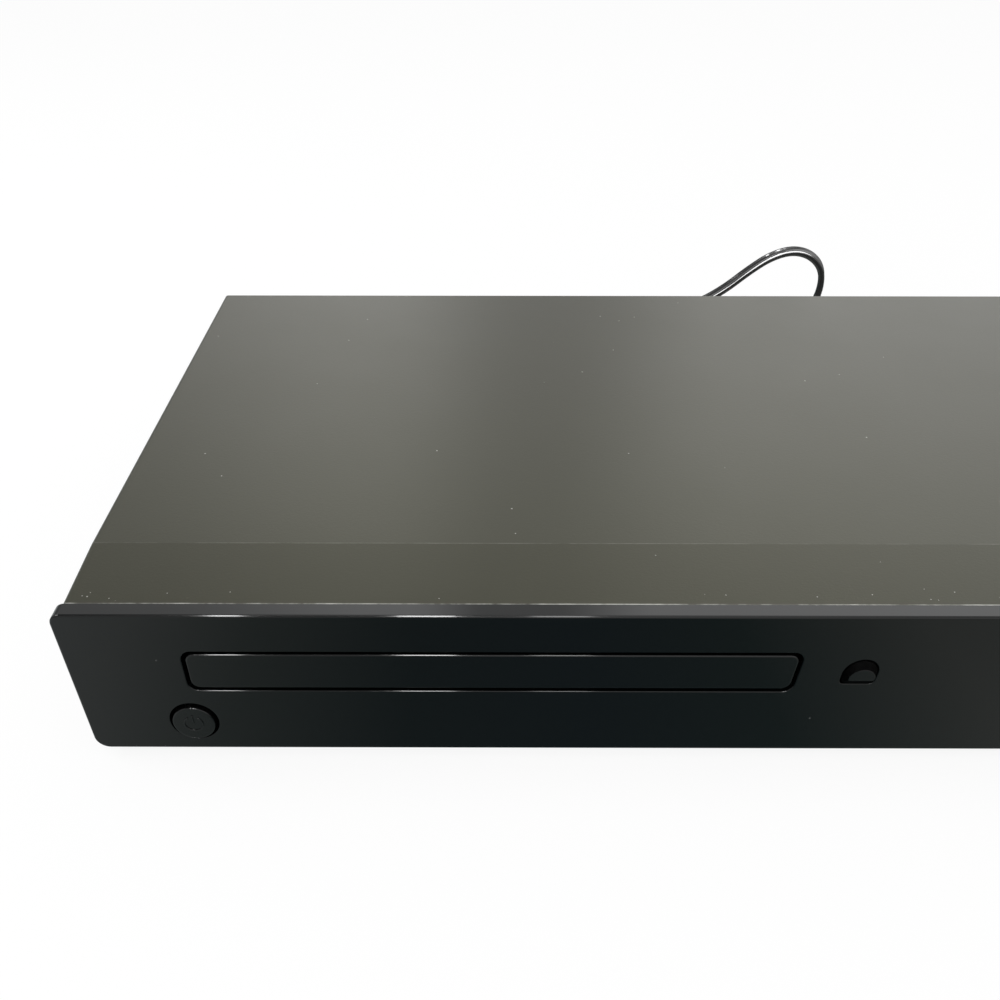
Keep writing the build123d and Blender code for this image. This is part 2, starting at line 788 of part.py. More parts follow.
def make_loader_frame():
    """Moulded loader base: side walls with runners, a deck with the traverse bay, gear posts."""
    outer = loader_half
    inner = loader_half - loader_wall
    cx = loader_x
    frame = block((cx - outer, cx + outer), (loader_front, loader_back), (deck_z, deck_top))
    bay = (bay_y, bay_y + bay_length)
    frame -= block((cx - bay_half, cx + bay_half), bay, (deck_z, deck_top))
    rail = rail_height()
    for side in (-1, 1):
        wall = sorted((cx + side * outer, cx + side * inner))
        frame += block(wall, (loader_front, loader_back), (deck_z, loader_top))
        edge = tray_width / 2 + touch_gap + 0.3
        ledge = sorted((cx + side * edge, cx + side * inner))
        frame += block(ledge, (loader_front, loader_back), (rail[0] - touch_gap - 1.7, rail[0] - touch_gap))
        for y in (loader_front + 4, loader_front + 60, loader_back - 24):
            frame += block(ledge, (y, y + 16), (rail[1] + touch_gap, rail[1] + touch_gap + 1.5))
        for k in range(5):
            y = loader_front + 16 + 33 * k
            rib = sorted((cx + side * inner, cx + side * (inner - 3)))
            frame += block(rib, (y - 0.8, y + 0.8), (deck_top, rail[0] - touch_gap - 1.7))
    stop = (loader_back - loader_wall, loader_back)
    frame += block((cx - outer, cx - 24), stop, (deck_top, tray_low - 1)) + block((cx + 24, cx + outer), stop, (deck_top, tray_low - 1))
    frame += make_gear_posts()
    frame += post(motor_radius + 1.8, motor_x, gear_y, (deck_z, motor_top() + 1.4))
    frame -= post(motor_radius + 0.1, motor_x, gear_y, (deck_z, motor_top()))
    frame -= post(3.5, motor_x, gear_y, (motor_top(), motor_top() + 1.4))
    frame += make_cam_guide()
    frame -= block(cam_room(), (bay_y - 1, bay_y + touch_gap + cam_plate + touch_gap), (deck_z, deck_top))
    for side in (-1, 1):
        hook_x = (cx + side * (traverse_half + 0.25 + 0.35), cx + side * (bay_half))
        frame += block(sorted(hook_x), (hinge_y() - 5, hinge_y() + 5), (deck_z, hinge_z() + 3.5))
        frame -= bar_x(traverse_pin + running_gap, hinge_y(), hinge_z(), sorted((cx + side * traverse_half, cx + side * (bay_half + 2))))
    for x, y in loader_posts():
        frame -= post(screw_shank + 0.1, x, y, (deck_z, deck_top))
    return frame


def make_gear_posts():
    posts = post(gear_post, drive_x, gear_y, (deck_top, rack_gear_z + gear_face))
    posts += post(3.2, drive_x, gear_y, (deck_top, large_gear_z - 0.2))
    posts += post(gear_post, pulley_x, gear_y, (deck_top, pulley_z + pulley_thickness))
    return posts + post(3.2, pulley_x, gear_y, (deck_top, large_gear_z - 0.2))


def motor_top():
    return pulley_z - 1.8


def pin_z():
    return traverse_z() + traverse_plate / 2


def traverse_z():
    return deck_top + 2.0


def hinge_y():
    return bay_y + bay_length - 8.0


def hinge_z():
    return traverse_z() + traverse_plate / 2


def pin_reach():
    """From the traverse's hinge to its front pin, along Y."""
    return hinge_y() - (bay_y + 2.5)


def pin_fall():
    return pin_reach() * sin(radians(traverse_drop))


def cam_room():
    """Stretch along X that the cam's plate needs, in the deck beside the bay."""
    return (pin_x - cam_travel - 5.0 - touch_gap, loader_x)


def make_cam_guide():
    """Rail on the deck whose lip holds the cam slider's foot down."""
    y = bay_y - cam_foot - touch_gap
    top = deck_top + cam_foot_z + cam_foot_height + touch_gap
    x = (pin_x - cam_travel - 12.0, pin_x + 18.0)
    rail = block(x, (y - 2, y), (deck_top, top + 1.2))
    return rail + block(x, (y - 2, y + 1.6), (top, top + 1.2))


def make_cam_slider():
    """Sliding cam: a foot on the deck and a plate with the sloping slot for the traverse's pin."""
    x = (pin_x - cam_travel - 5.0, pin_x + 6.0)
    foot = (deck_top + cam_foot_z, deck_top + cam_foot_z + cam_foot_height)
    slider = block(x, (bay_y - cam_foot, bay_y + touch_gap + cam_plate), foot)
    plate_y = (bay_y + touch_gap, bay_y + touch_gap + cam_plate)
    slider += block(x, plate_y, (pin_z() - pin_fall() - 4.0, pin_z() + 4.0))
    high = (pin_x, pin_z())
    low = (pin_x - cam_travel, pin_z() - pin_fall())
    width = 2 * (traverse_pin + running_gap + 0.05)
    middle = ((high[0] + low[0]) / 2, (high[1] + low[1]) / 2)
    run = hypot(high[0] - low[0], high[1] - low[1])
    tilt = degrees(atan2(high[1] - low[1], high[0] - low[0]))
    slot = Pos(*middle) * Rot(0, 0, tilt) * SlotCenterToCenter(run + 0.4, width)
    return slider - along(slot, (plate_y[0] - 1, plate_y[1] + 1))


def make_drive_gear():
    wheel = gear(fine_module, large_gear_teeth, drive_x, gear_y, (large_gear_z, hub_z), 180)
    wheel += post(4.0, drive_x, gear_y, (hub_z, rack_gear_z))
    wheel += gear(gear_module, rack_pinion_teeth, drive_x, gear_y, (rack_gear_z, rack_gear_z + gear_face), 180)
    return wheel - post(gear_post + running_gap, drive_x, gear_y, (large_gear_z, rack_gear_z + gear_face))


def grooved_pulley(radius, x, y):
    """Pulley with a square belt groove."""
    wheel = post(radius, x, y, (pulley_z, pulley_z + pulley_thickness))
    middle = pulley_z + pulley_thickness / 2
    half = belt_side / 2 + belt_set
    ring = post(radius + 1, x, y, (middle - half, middle + half))
    return wheel - (ring - post(radius - belt_side, x, y, (middle - half, middle + half)))


def make_pulley_gear():
    """Belt pulley moulded in one with the first pinion; the pinion has a gap where the wheel has a tooth."""
    turn = 180.0 / small_pinion_teeth
    wheel = gear(fine_module, small_pinion_teeth, pulley_x, gear_y, (large_gear_z, hub_z), turn)
    wheel += post(4.0, pulley_x, gear_y, (hub_z, pulley_z)) + grooved_pulley(large_pulley, pulley_x, gear_y)
    wheel -= post(gear_post + running_gap, pulley_x, gear_y, (large_gear_z, pulley_z + pulley_thickness))
    return wheel


def make_motor_pulley():
    shaft = post(motor_shaft, motor_x, gear_y, (motor_top() - 8.0, pulley_z + pulley_thickness + 0.4))
    return grooved_pulley(small_pulley, motor_x, gear_y) + shaft


def make_loading_motor():
    """Can motor with a flat at each side of the can and a bore for its shaft."""
    top = motor_top()
    can = post(motor_radius, motor_x, gear_y, (top - motor_height, top))
    can = fillet(can.edges().sort_by(Axis.Z)[0], 1.0)
    can += post(3.0, motor_x, gear_y, (top, top + 1.0))
    return can - post(motor_shaft + running_gap, motor_x, gear_y, (top - 9.0, top + 1.0))


def make_drive_belt():
    """Square rubber belt: two arcs and their common tangents."""
    middle = pulley_z + pulley_thickness / 2
    inner = (large_pulley - belt_side + belt_set, small_pulley - belt_side + belt_set)
    loops = []
    for extra in (belt_side, 0.0):
        big = inner[0] + extra
        small = inner[1] + extra
        span = pulley_x - motor_x
        lean = asin((big - small) / span)
        a = (pulley_x - big * sin(lean), gear_y + big * cos(lean))
        b = (motor_x - small * sin(lean), gear_y + small * cos(lean))
        c = (b[0], 2 * gear_y - b[1])
        d = (a[0], 2 * gear_y - a[1])
        far = Line(a, b) + ThreePointArc(b, (motor_x - small, gear_y), c)
        loops.append(make_face(far + Line(c, d) + ThreePointArc(d, (pulley_x + big, gear_y), a)))
    return upright(loops[0] - loops[1], (middle - belt_side / 2, middle + belt_side / 2))


# Clamp


def disc_face():
    """Height of the turntable's face, a little above the tray's well."""
    return disc_floor + 0.8


def make_clamp_bridge():
    """Steel bridge across the loader's walls, pressed up in the middle to hold the clamper."""
    y = (disc_y - 22, disc_y + 22)
    span = loader_half
    strip = block((loader_x - span, loader_x + span), y, (loader_top, loader_top + 0.9))
    strip -= post(20.5, loader_x, disc_y, (loader_top - 1, loader_top + 1))
    dish = post(22.0, loader_x, disc_y, (loader_top, bridge_z + 0.9)) - post(20.5, loader_x, disc_y, (loader_top - 1, bridge_z))
    strip += dish
    strip -= post(bridge_hole, loader_x, disc_y, (loader_top, bridge_z + 2))
    for side in (-1, 1):
        x = loader_x + side * (loader_half - loader_wall / 2)
        for y0 in (disc_y - 15, disc_y + 15):
            strip -= post(0.8, x, y0, (loader_top, loader_top + 1))
    return strip


def make_disc_clamper():
    """Clamper: a wide foot over the disc, a neck through the bridge and a cap that hangs it."""
    foot_z = disc_face() + clamp_gap
    foot = post(clamper_radius, loader_x, disc_y, (foot_z, foot_z + 2.6))
    foot = fillet(foot.edges().sort_by(Axis.Z)[-1], 0.8)
    neck = post(bridge_hole - 0.6, loader_x, disc_y, (foot_z + 2.6, bridge_z + 0.9 + 0.3))
    cap = post(clamper_radius - 2, loader_x, disc_y, (bridge_z + 0.9 + 0.3, bridge_z + 0.9 + 1.8))
    return foot + neck + cap - post(7.0, loader_x, disc_y, (foot_z, foot_z + 0.9))


# Traverse


def make_traverse_frame():
    """Tilting plate with the spindle's seat, the sled's window, rod holders, hinge pins and the cam pin."""
    cx = loader_x
    z = traverse_z()
    y = (bay_y + 2.5 + 0.9 + cam_plate - 2.0, hinge_y() + 4.0)
    plate = block((cx - traverse_half, cx + traverse_half), y, (z, z + traverse_plate))
    plate = fillet(plate.edges().filter_by(Axis.Z), 4.0)
    plate -= post(spindle_radius + 0.2, cx, disc_y, (z, z + traverse_plate))
    window = sled_window()
    plate -= block((cx - screw_dx - 4.5, cx + rod_dx - 3.5), window, (z, z + traverse_plate))
    motor = (cx - screw_dx - sled_motor_radius - 0.3, cx - screw_dx + sled_motor_radius + 0.3)
    plate -= block(motor, (window[1] - 1, window[1] + 12.5), (z, z + traverse_plate))
    bearing = (window[0] - 3.0, window[0] + 0.5)
    plate += block((cx - screw_dx - 3, cx - screw_dx + 3), bearing, (z, screw_z() + 2.8))
    plate -= bar_y(screw_radius + running_gap, cx - screw_dx, screw_z(), bearing)
    for side in (-1, 1):
        rim = sorted((cx + side * (traverse_half - 2), cx + side * traverse_half))
        plate += block(rim, (y[0] + 4, y[1] - 4), (z - 2.0, z))
        x = cx + side * rod_dx
        for y0 in (window[0] - 3.0, window[1] - 3.0):
            holder = block((x - 3.5, x + 3.5), (y0, y0 + 4), (z + traverse_plate, rod_z() + 2.6))
            plate += holder - bar_y(rod_radius + 0.02, x, rod_z(), (y0, y0 + 4))
        plate += block((x - 3.5, x + 3.5), (window[1], window[1] + 1), (z, z + traverse_plate + 0.1))
        pin = sorted((cx + side * (traverse_half - 3), cx + side * (bay_half - 0.2)))
        plate += bar_x(traverse_pin, hinge_y(), hinge_z(), pin)
    plate += bar_y(traverse_pin, pin_x, pin_z(), (bay_y + touch_gap, y[0] + 3))
    return plate


def sled_window():
    return (disc_y + spindle_radius + 3.0, disc_y + 81.0)


def rod_z():
    return traverse_z() + traverse_plate + 2.6


def screw_z():
    return traverse_z() + traverse_plate + 0.7


def make_guide_rods():
    window = sled_window()
    y = (window[0] - 3.0, window[1] + 1.0)
    return [bar_y(rod_radius, loader_x + side * rod_dx, rod_z(), y) for side in (-1, 1)]


def make_spindle_motor():
    """Flat brushless motor whose bearing stands up through the traverse."""
    z = traverse_z()
    can = post(spindle_radius, loader_x, disc_y, (z - 3.6, z + traverse_plate + 1.6))
    can = fillet(can.edges().sort_by(Axis.Z)[0], 0.8)
    can += post(spindle_radius + 3.0, loader_x, disc_y, (z - 1.0, z))
    can += post(3.0, loader_x, disc_y, (z + traverse_plate + 1.6, z + traverse_plate + 4.0))
    return can - post(1.0 + running_gap, loader_x, disc_y, (z - 2.4, z + traverse_plate + 4.0))


def make_turntable():
    """Turntable with its rubber face, centring cone and spindle."""
    face = disc_face()
    under = traverse_z() + traverse_plate + 4.3
    table = post(turntable_radius, loader_x, disc_y, (face - 2.4, face))
    table += post(5.0, loader_x, disc_y, (under, face - 2.4))
    table += Pos(loader_x, disc_y, face + 0.9) * Cone(7.4, 6.2, 1.8)
    table -= post(6.0, loader_x, disc_y, (face + 0.9, face + 1.8)) - post(2.0, loader_x, disc_y, (face, face + 1.8))
    return table + post(1.0, loader_x, disc_y, (traverse_z() - 2.0, under))


def sled_y():
    """Front edge of the sled at its innermost place."""
    return sled_window()[0] + 1.5


def make_pickup_sled():
    """Die-cast sled: bushes on both rods, a raised deck for the lens and an arm to the lead screw."""
    cx = loader_x
    z = rod_z()
    y = (sled_y(), sled_y() + sled_length)
    body = block((cx - rod_dx + 4.5, cx + rod_dx - 4.5), y, (z - 3.6, z + 1.4))
    for side in (-1, 1):
        bush = sorted((cx + side * (rod_dx - 5.0), cx + side * (rod_dx + 3.0)))
        for k in (0, 17.0):
            body += block(bush, (y[0] + k, y[0] + k + 8), (z - 2.3, z + 2.4))
        body -= bar_y(rod_radius + running_gap, cx + side * rod_dx, z, (y[0] - 1, y[1] + 1))
    body += block((cx - 12, cx + 12), (y[0] + 1, y[1] - 3), (z + 1.4, z + 3.4))
    body = body - block((cx - 9, cx + 9), (y[0] + 6, y[1] - 8), (z - 3.6, z - 0.8))
    arm = block((cx - screw_dx - 3.3, cx - rod_dx - 2.0), (y[0] + 8.0, y[0] + 16.0), (traverse_z() + 0.6, z + 1.6))
    arm += block((cx - rod_dx - 3.0, cx - rod_dx + 5.0), (y[0] + 8.0, y[0] + 16.0), (z + rod_radius + touch_gap, z + 2.4))
    arm += block((cx - screw_dx - 3.3, cx - rod_dx - 2.0), (y[0] + 8.0, y[0] + 16.0), (z + 1.0, z + 2.4))
    return body + arm - bar_y(screw_radius + running_gap, cx - screw_dx, screw_z(), y)


def make_pickup_lens():
    """Lens in its suspended holder on the sled's deck."""
    z = rod_z() + 3.4
    y = sled_y() + 6.5
    holder = block((loader_x - 7, loader_x + 7), (y - 4.5, y + 4.5), (z, z + 2.0))
    holder = fillet(holder.edges().filter_by(Axis.Z), 1.5)
    lens = Pos(loader_x, y, z + 0.6) * Sphere(3.0) & block((loader_x - 3, loader_x + 3), (y - 3, y + 3), (z + 2.0, z + 4))
    return [holder, lens]


def make_lead_screw():
    """Lead screw between the sled motor and the bearing in the traverse's front edge."""
    window = sled_window()
    x = loader_x - screw_dx
    screw = bar_y(screw_radius, x, screw_z(), (window[0] - 2.6, window[1] + 3.5))
    return screw + bar_y(2.2, x, screw_z(), (window[1] - 1.6, window[1] - 0.4))


def make_sled_motor():
    """Small motor behind the window, on a flange that stands on the traverse."""
    window = sled_window()
    x = loader_x - screw_dx
    top = traverse_z() + traverse_plate
    can = bar_y(sled_motor_radius, x, screw_z(), (window[1] + 0.5, window[1] + 12.0))
    can += block((x - 7, x + 5.2), (window[1] + 0.2, window[1] + 1.7), (top, screw_z() + 4.6))
    return can - bar_y(screw_radius + running_gap, x, screw_z(), (window[1], window[1] + 4.0))


def make_traverse_dampers():
    """Rubber grommets at the traverse's corners."""
    z = traverse_z()
    dampers = []
    for side in (-1, 1):
        for y in (bay_y + 16.0, hinge_y() - 24.0):
            x = loader_x + side * (traverse_half - 4.2)
            dampers.append(post(3.4, x, y, (z + traverse_plate, z + traverse_plate + 2.0)) - post(1.2, x, y, (z, z + 6)))
    return dampers


def make_inner_screws():
    """Screws that hold the boards and the loader to the chassis posts."""
    top = floor_top + standoff + board_thickness
    screws = [Pos(x, y, top) * pan_screw(5.0) for x, y in board_posts()]
    screws += [Pos(x, y, deck_top) * pan_screw(6.0) for x, y in loader_posts()]
    return screws


# Boards


def board_z():
    low = floor_top + standoff
    return (low, low + board_thickness)


def on_main(x_share, y_share):
    """Place on the main board, as shares of its width and depth."""
    return share_of(main_board_x, x_share), share_of(main_board_y, y_share)


def on_power(x_share, y_share):
    """Place on the power board, as shares of its width and depth."""
    return share_of(power_board_x, x_share), share_of(power_board_y, y_share)


def share_of(span, share):
    return span[0] + share * (span[1] - span[0])


def make_main_board():
    board = block(main_board_x, main_board_y, board_z())
    for x, y in board_posts()[:4]:
        board -= post(screw_shank + 0.1, x, y, board_z())
    return board


def make_power_board():
    board = block(power_board_x, power_board_y, board_z())
    for x, y in board_posts()[4:]:
        board -= post(screw_shank + 0.1, x, y, board_z())
    slot_x, slot_front = on_power(0.285, 0.27)
    return board - block((slot_x - 1.5, slot_x + 1.5), (slot_front, on_power(0, 0.75)[1]), board_z())


def make_board_chips():
    """Decoder, memory, flash and motor driver."""
    z = board_z()[1]
    sizes = [
        (on_main(0.5, 0.375), 24, 24, 1.5),
        (on_main(0.636, 0.569), 11, 22, 1.2),
        (on_main(0.263, 0.556), 5, 6, 1.6),
        (on_main(0.364, 0.153), 12, 14, 2.0),
    ]
    chips = []
    for (x, y), w, d, h in sizes:
        chip = Pos(x, y, z + h / 2 + 0.1) * Box(w, d, h)
        chip = chamfer(chip.edges().filter_by(Axis.Z), 0.5)
        chips.append(chip + Pos(x, y, z + 0.25) * Box(w + 2.4, d - 2, 0.5))
    return chips


def make_board_capacitors():
    z = board_z()[1]
    cans = []
    small = [on_main(*at) for at in ((0.17, 0.694), (0.339, 0.694), (0.814, 0.389), (0.237, 0.271))]
    middling = [on_main(*at) for at in ((0.576, 0.708), (0.814, 0.25))]
    tall = [on_power(*at) for at in ((0.883, 0.177), (0.883, 0.323), (0.901, 0.5))]
    slim = [on_power(*at) for at in ((0.775, 0.468), (0.126, 0.129))]
    sizes = [(at, 2.5, 7) for at in small] + [(at, 3.2, 9) for at in middling]
    sizes += [(at, 5.0, 16) for at in tall] + [(at, 4.0, 13) for at in slim]
    for (x, y), r, h in sizes:
        can = post(r, x, y, (z, z + h))
        can -= Pos(x, y, z + h) * Box(2 * r * 0.8, 0.3, 0.4)
        can -= Pos(x, y, z + h) * Box(0.3, 2 * r * 0.8, 0.4)
        cans.append(can)
    return cans


def make_transformer():
    """Ferrite core, bobbin and winding of the switching supply."""
    z = board_z()[1]
    x, y = on_power(0.577, 0.339)
    core = block((x - 11, x + 11), (y - 5, y + 5), (z + 2, z + 20))
    core -= block((x - 7.5, x - 3), (y - 6, y + 6), (z + 5, z + 17)) + block((x + 3, x + 7.5), (y - 6, y + 6), (z + 5, z + 17))
    winding = Pos(x, y, z + 11) * Box(14.6, 17, 11.4)
    winding = fillet(winding.edges().filter_by(Axis.Z), 2.5) - block((x - 11, x - 7.5), (y - 9, y + 9), (z, z + 20))
    base = block((x - 11, x + 11), (y - 10, y + 10), (z, z + 2))
    return core + winding + base


def make_bulk_capacitor():
    z = board_z()[1]
    x, y = on_power(0.342, 0.597)
    can = post(8.0, x, y, (z, z + 25))
    can = fillet(can.edges().sort_by(Axis.Z)[-1], 0.8)
    return can - Pos(x, y, z + 25) * Box(12, 0.4, 0.6) - Pos(x, y, z + 25) * Box(0.4, 12, 0.6)


def make_fuse():
    """Glass fuse in its two clips."""
    z = board_z()[1]
    x, y = on_power(0.171, 0.629)
    glass = bar_y(2.6, x, z + 4.2, (y - 10, y + 10))
    for k in (-1, 1):
        clip = block((x - 3.4, x + 3.4), (y + k * 7.5 - 2.4, y + k * 7.5 + 2.4), (z, z + 5.4))
        glass += clip - bar_y(2.6, x, z + 4.2, (y - 12, y + 12)) - block((x - 1.8, x + 1.8), (y - 12, y + 12), (z + 4.2, z + 6))
    return glass


def make_heat_sink():
    """Bent aluminium plate with three fins and the power transistor against it."""
    z = board_z()[1]
    x, y = on_power(0.396, 0.387)
    plate = block((x - 1, x + 1), (y - 16, y + 14), (z, z + 24))
    for k in (-14, -1, 12):
        plate += block((x - 8, x - 1), (y + k - 0.8, y + k + 0.8), (z + 3, z + 24))
    return plate


def make_line_filter():
    """Common-mode choke: a ring core on its base, with two windings."""
    z = board_z()[1]
    x, y = on_power(0.198, 0.839)
    ring = Pos(x, y, z + 9) * Rot(90, 0, 0) * (Cylinder(8, 7) - Cylinder(4, 9))
    return ring + block((x - 8, x + 8), (y - 5, y + 5), (z, z + 2.5))


def make_board_connectors():
    """White sockets for the ribbons and for the mains lead."""
    z = board_z()[1]
    sizes = [(on_main(0.102, 0.167), 5, 18), (front_link(), 24, 5), (supply_link()[0], 5, 16), (supply_link()[1], 5, 16)]
    sizes.append((on_power(0.054, 0.903), 10, 9))
    sockets = []
    for (x, y), w, d in sizes:
        socket = block((x - w / 2, x + w / 2), (y - d / 2, y + d / 2), (z, z + 6))
        sockets.append(socket - block((x - w / 2 + 1, x + w / 2 - 1), (y - d / 2 + 1, y + d / 2 - 1), (z + 2, z + 6)))
    x = front_link()[0]
    y = front_y + front_board_set + board_thickness
    shell = block((x - 12, x + 12), (y, y + 5), (ribbon_z - 2.5, ribbon_z + 2.5))
    sockets.append(shell - block((x - 10, x + 10), (y + 1.5, y + 5), (ribbon_z - 1, ribbon_z + 1)))
    return sockets


def front_link():
    """The main board's connector for the front board."""
    return on_main(0.508, 0.035)


def supply_link():
    """The two connectors between the boards, in one line."""
    x, y = on_main(0.915, 0.5)
    return (x, y), (power_board_x[0] + 4.8, y)


def ribbon(points, x):
    """Flat cable as a folded strip; its bends are given in Y and Z."""
    return across(trace(Polyline(*points), line_width=ribbon_thickness), x)


def make_ribbon_cables():
    """Flat cables: main board to the front board, and supply to main board."""
    z = board_z()[1]
    start = front_y + front_board_set + board_thickness + 2.0
    x, end = front_link()
    front = ribbon([(start, ribbon_z), (start + 14, ribbon_z), (end - 11, z + 8.0), (end, z + 8.0), (end, z + 2.4)], (x - 9, x + 9))
    near, far = supply_link()
    y = (near[1] - 3, near[1] + 3)
    half = ribbon_thickness / 2
    across_gap = block((near[0] - half, far[0] + half), y, (z + 7.0, z + 7.0 + ribbon_thickness))
    for x in (near[0], far[0]):
        across_gap += block((x - half, x + half), y, (z + 2.4, z + 7.0))
    return [front, across_gap]


# Sockets on the back


def make_jack_block():
    """Moulded socket block on the main board's edge, with a collar through the back for each socket."""
    inner = back_y - 2 * sheet
    first = jack_places()[0]
    last = jack_places()[-1]
    body = block((first - 6.6, last + 6.6), (inner - 14, inner - 0.1), (board_z()[1], jack_z + 6.5))
    for x in jack_places():
        body -= bar_y(jack_seat + running_gap, x, jack_z, (inner - 10, inner))
    for k in range(3):
        x = first + jack_pitch * (k + 0.5)
        body -= block((x - 0.8, x + 0.8), (inner - 14, inner - 3), (jack_z - 2, jack_z + 6.5))
    return body


def make_jack_ring(x):
    """Coloured plastic ring round a socket's shell."""
    ring = bar_y(jack_ring, x, jack_z, (back_y - 2 * sheet, back_y + jack_ring_proud))
    ring = fillet(ring.edges().sort_by(Axis.Y)[-1], 0.4)
    return ring - bar_y(jack_seat + running_gap, x, jack_z, (back_y - 3, back_y + 3))


def make_jack_barrel(x):
    """Nickel-plated shell of a phono socket: a narrower seat inside and the free barrel outside."""
    start = back_y - 2 * sheet - 9.5
    step = back_y + jack_ring_proud
    end = back_y + jack_reach
    shell = bar_y(jack_seat, x, jack_z, (start, step)) + bar_y(jack_barrel, x, jack_z, (step, end))
    shell = chamfer(shell.edges().sort_by(Axis.Y)[-1], 0.4)
    return shell - bar_y(jack_bore, x, jack_z, (end - 8.0, end))


# Mains lead


def make_cord_gland():
    """Strain relief: a flange outside the wall, a groove in it and a tapered ribbed tail."""
    outer = back_y - sheet
    end = back_y + gland_tail
    relief = bar_y(gland_neck, gland_x, gland_z, (outer - sheet, outer))
    relief += bar_y(gland_neck + 1.4, gland_x, gland_z, (outer - sheet - 3, outer - sheet))
    relief += bar_y(gland_neck + 1.8, gland_x, gland_z, (outer, outer + 2.2))
    tail = end - outer - 2.2
    cone = Pos(gland_x, outer + 2.2 + tail / 2, gland_z) * Rot(-90, 0, 0) * Cone(gland_neck, cord_width / 2 + 0.6, tail)
    relief += cone
    for k in range(4):
        y = outer + 5.0 + 2.6 * k
        relief -= bar_y(8, gland_x, gland_z, (y, y + 0.9)) - bar_y(2.6, gland_x, gland_z, (y, y + 0.9))
    return relief


def corner_radii(points):
    """Each corner's arc takes 0.45 of its shorter run on both sides."""
    radii = []
    for a, b, c in zip(points, points[1:], points[2:]):
        before = Vector(*b) - Vector(*a)
        after = Vector(*c) - Vector(*b)
        turn = radians(before.get_angle(after))
        radii.append(0.45 * min(before.length, after.length) / tan(turn / 2))
    return radii


def round_tube(path, radius):
    """Round tube swept along a path of lines and arcs."""
    section = Plane(origin=path @ 0, z_dir=path % 0) * Circle(radius)
    return sweep(section, path=path)


def make_power_cord():
    radii = corner_radii(cord_route)
    path = FilletPolyline(*cord_route, radius=radii)
    tube = round_tube(path, cord_width / 2)
    expected = pi * (cord_width / 2) ** 2 * path.length
    print("cord radii", [round(r, 1) for r in radii])
    print("cord length", round(path.length, 1), "volume ratio", round(tube.volume / expected, 4))
    return tube, path.length


def biarc(start, start_way, end, end_way):
    """Two arcs that join two points with the given directions, smooth where they meet."""
    gap = end - start
    ways = start_way + end_way
    a = 2 * (1 - start_way.dot(end_way))
    b = 2 * gap.dot(ways)
    c = -gap.dot(gap)
    reach = c / -b if abs(a) < 1e-9 else (-b + sqrt(b * b - 4 * a * c)) / (2 * a)
    first = start + start_way * reach
    second = end - end_way * reach
    joint = (first + second) / 2
    return [
        TangentArc(start, joint, tangent=start_way),
        TangentArc(joint, end, tangent=(second - first).normalized()),
    ]


def coil_radius(turns):
    """In along the lower layer, out along the upper one."""
    return coil_inner + coil_pitch * abs(coil_turns - turns)


def coil_point(turns):
    """Middle of the cord after that many turns, which run clockwise from the side near the player."""
    angle = -pi / 2 - 2 * pi * turns
    radius = coil_radius(turns)
    climb = min(max((turns - coil_turns + 0.25) / 0.5, 0), 1)
    return Vector(coil_x + radius * cos(angle), coil_y + radius * sin(angle), coil_low + coil_pitch * climb)


def coil_way(turns):
    """Direction of the cord there; only the middle of the climb slopes."""
    angle = -pi / 2 - 2 * pi * turns
    slope = 2 * coil_pitch / (pi * coil_inner) if turns == coil_turns else 0
    return Vector(sin(angle), -cos(angle), slope).normalized()


def coil_marks():
    """Half turns along both layers and quarter turns at the climb between them."""
    half_turns = [k / 2 + 0.25 for k in range(2 * coil_turns)]
    upper = [coil_turns + mark for mark in half_turns]
    return [0] + half_turns + [coil_turns] + upper + [2 * coil_turns]


def least_gap(path):
    """Smallest clear space between two turns, measured on points along the path."""
    count = int(path.length / 2)
    points = [path @ (k / count) for k in range(count + 1)]
    skip = int(2 * pi * coil_inner / 4)
    gaps = [(a - b).length for k, a in enumerate(points) for b in points[k + skip:]]
    return min(gaps) - cord_width


def make_cord_coil():
    """The put-away length: one unbroken tube in two layers of flat spiral turns, its end straight to the plug."""
    marks = coil_marks()
    arcs = []
    for a, b in zip(marks, marks[1:]):
        arcs += biarc(coil_point(a), coil_way(a), coil_point(b), coil_way(b))
    first = coil_point(0)
    last = coil_point(2 * coil_turns)
    lead = Line(first - coil_way(0) * cord_width, first)
    tail = Line(last, last + coil_way(0) * plug_set)
    path = Wire([lead.edge()] + [arc.edge() for arc in arcs] + [tail.edge()])
    print("coil length", round(path.length, 1), "least gap", round(least_gap(path), 2))
    return round_tube(path, cord_width / 2), path.length


def make_cord_tie():
    """Flat strap round the turns at the coil's left side."""
    side = coil_x - coil_outer - cord_width / 2, coil_x - coil_inner + cord_width / 2
    low = coil_low - cord_width / 2 - tie_gap
    high = coil_low + coil_pitch + cord_width / 2 + tie_gap
    y = (coil_y - tie_width / 2, coil_y + tie_width / 2)
    wall = tie_thickness
    band = block((side[0] - wall, side[1] + wall), y, (low - wall, high + wall)) - block(side, y, (low, high))
    return fillet(band.edges().filter_by(Axis.Y), 0.25)


def plug_end():
    """Where the plug's strain relief begins, at the end of the cord."""
    return coil_x - plug_set


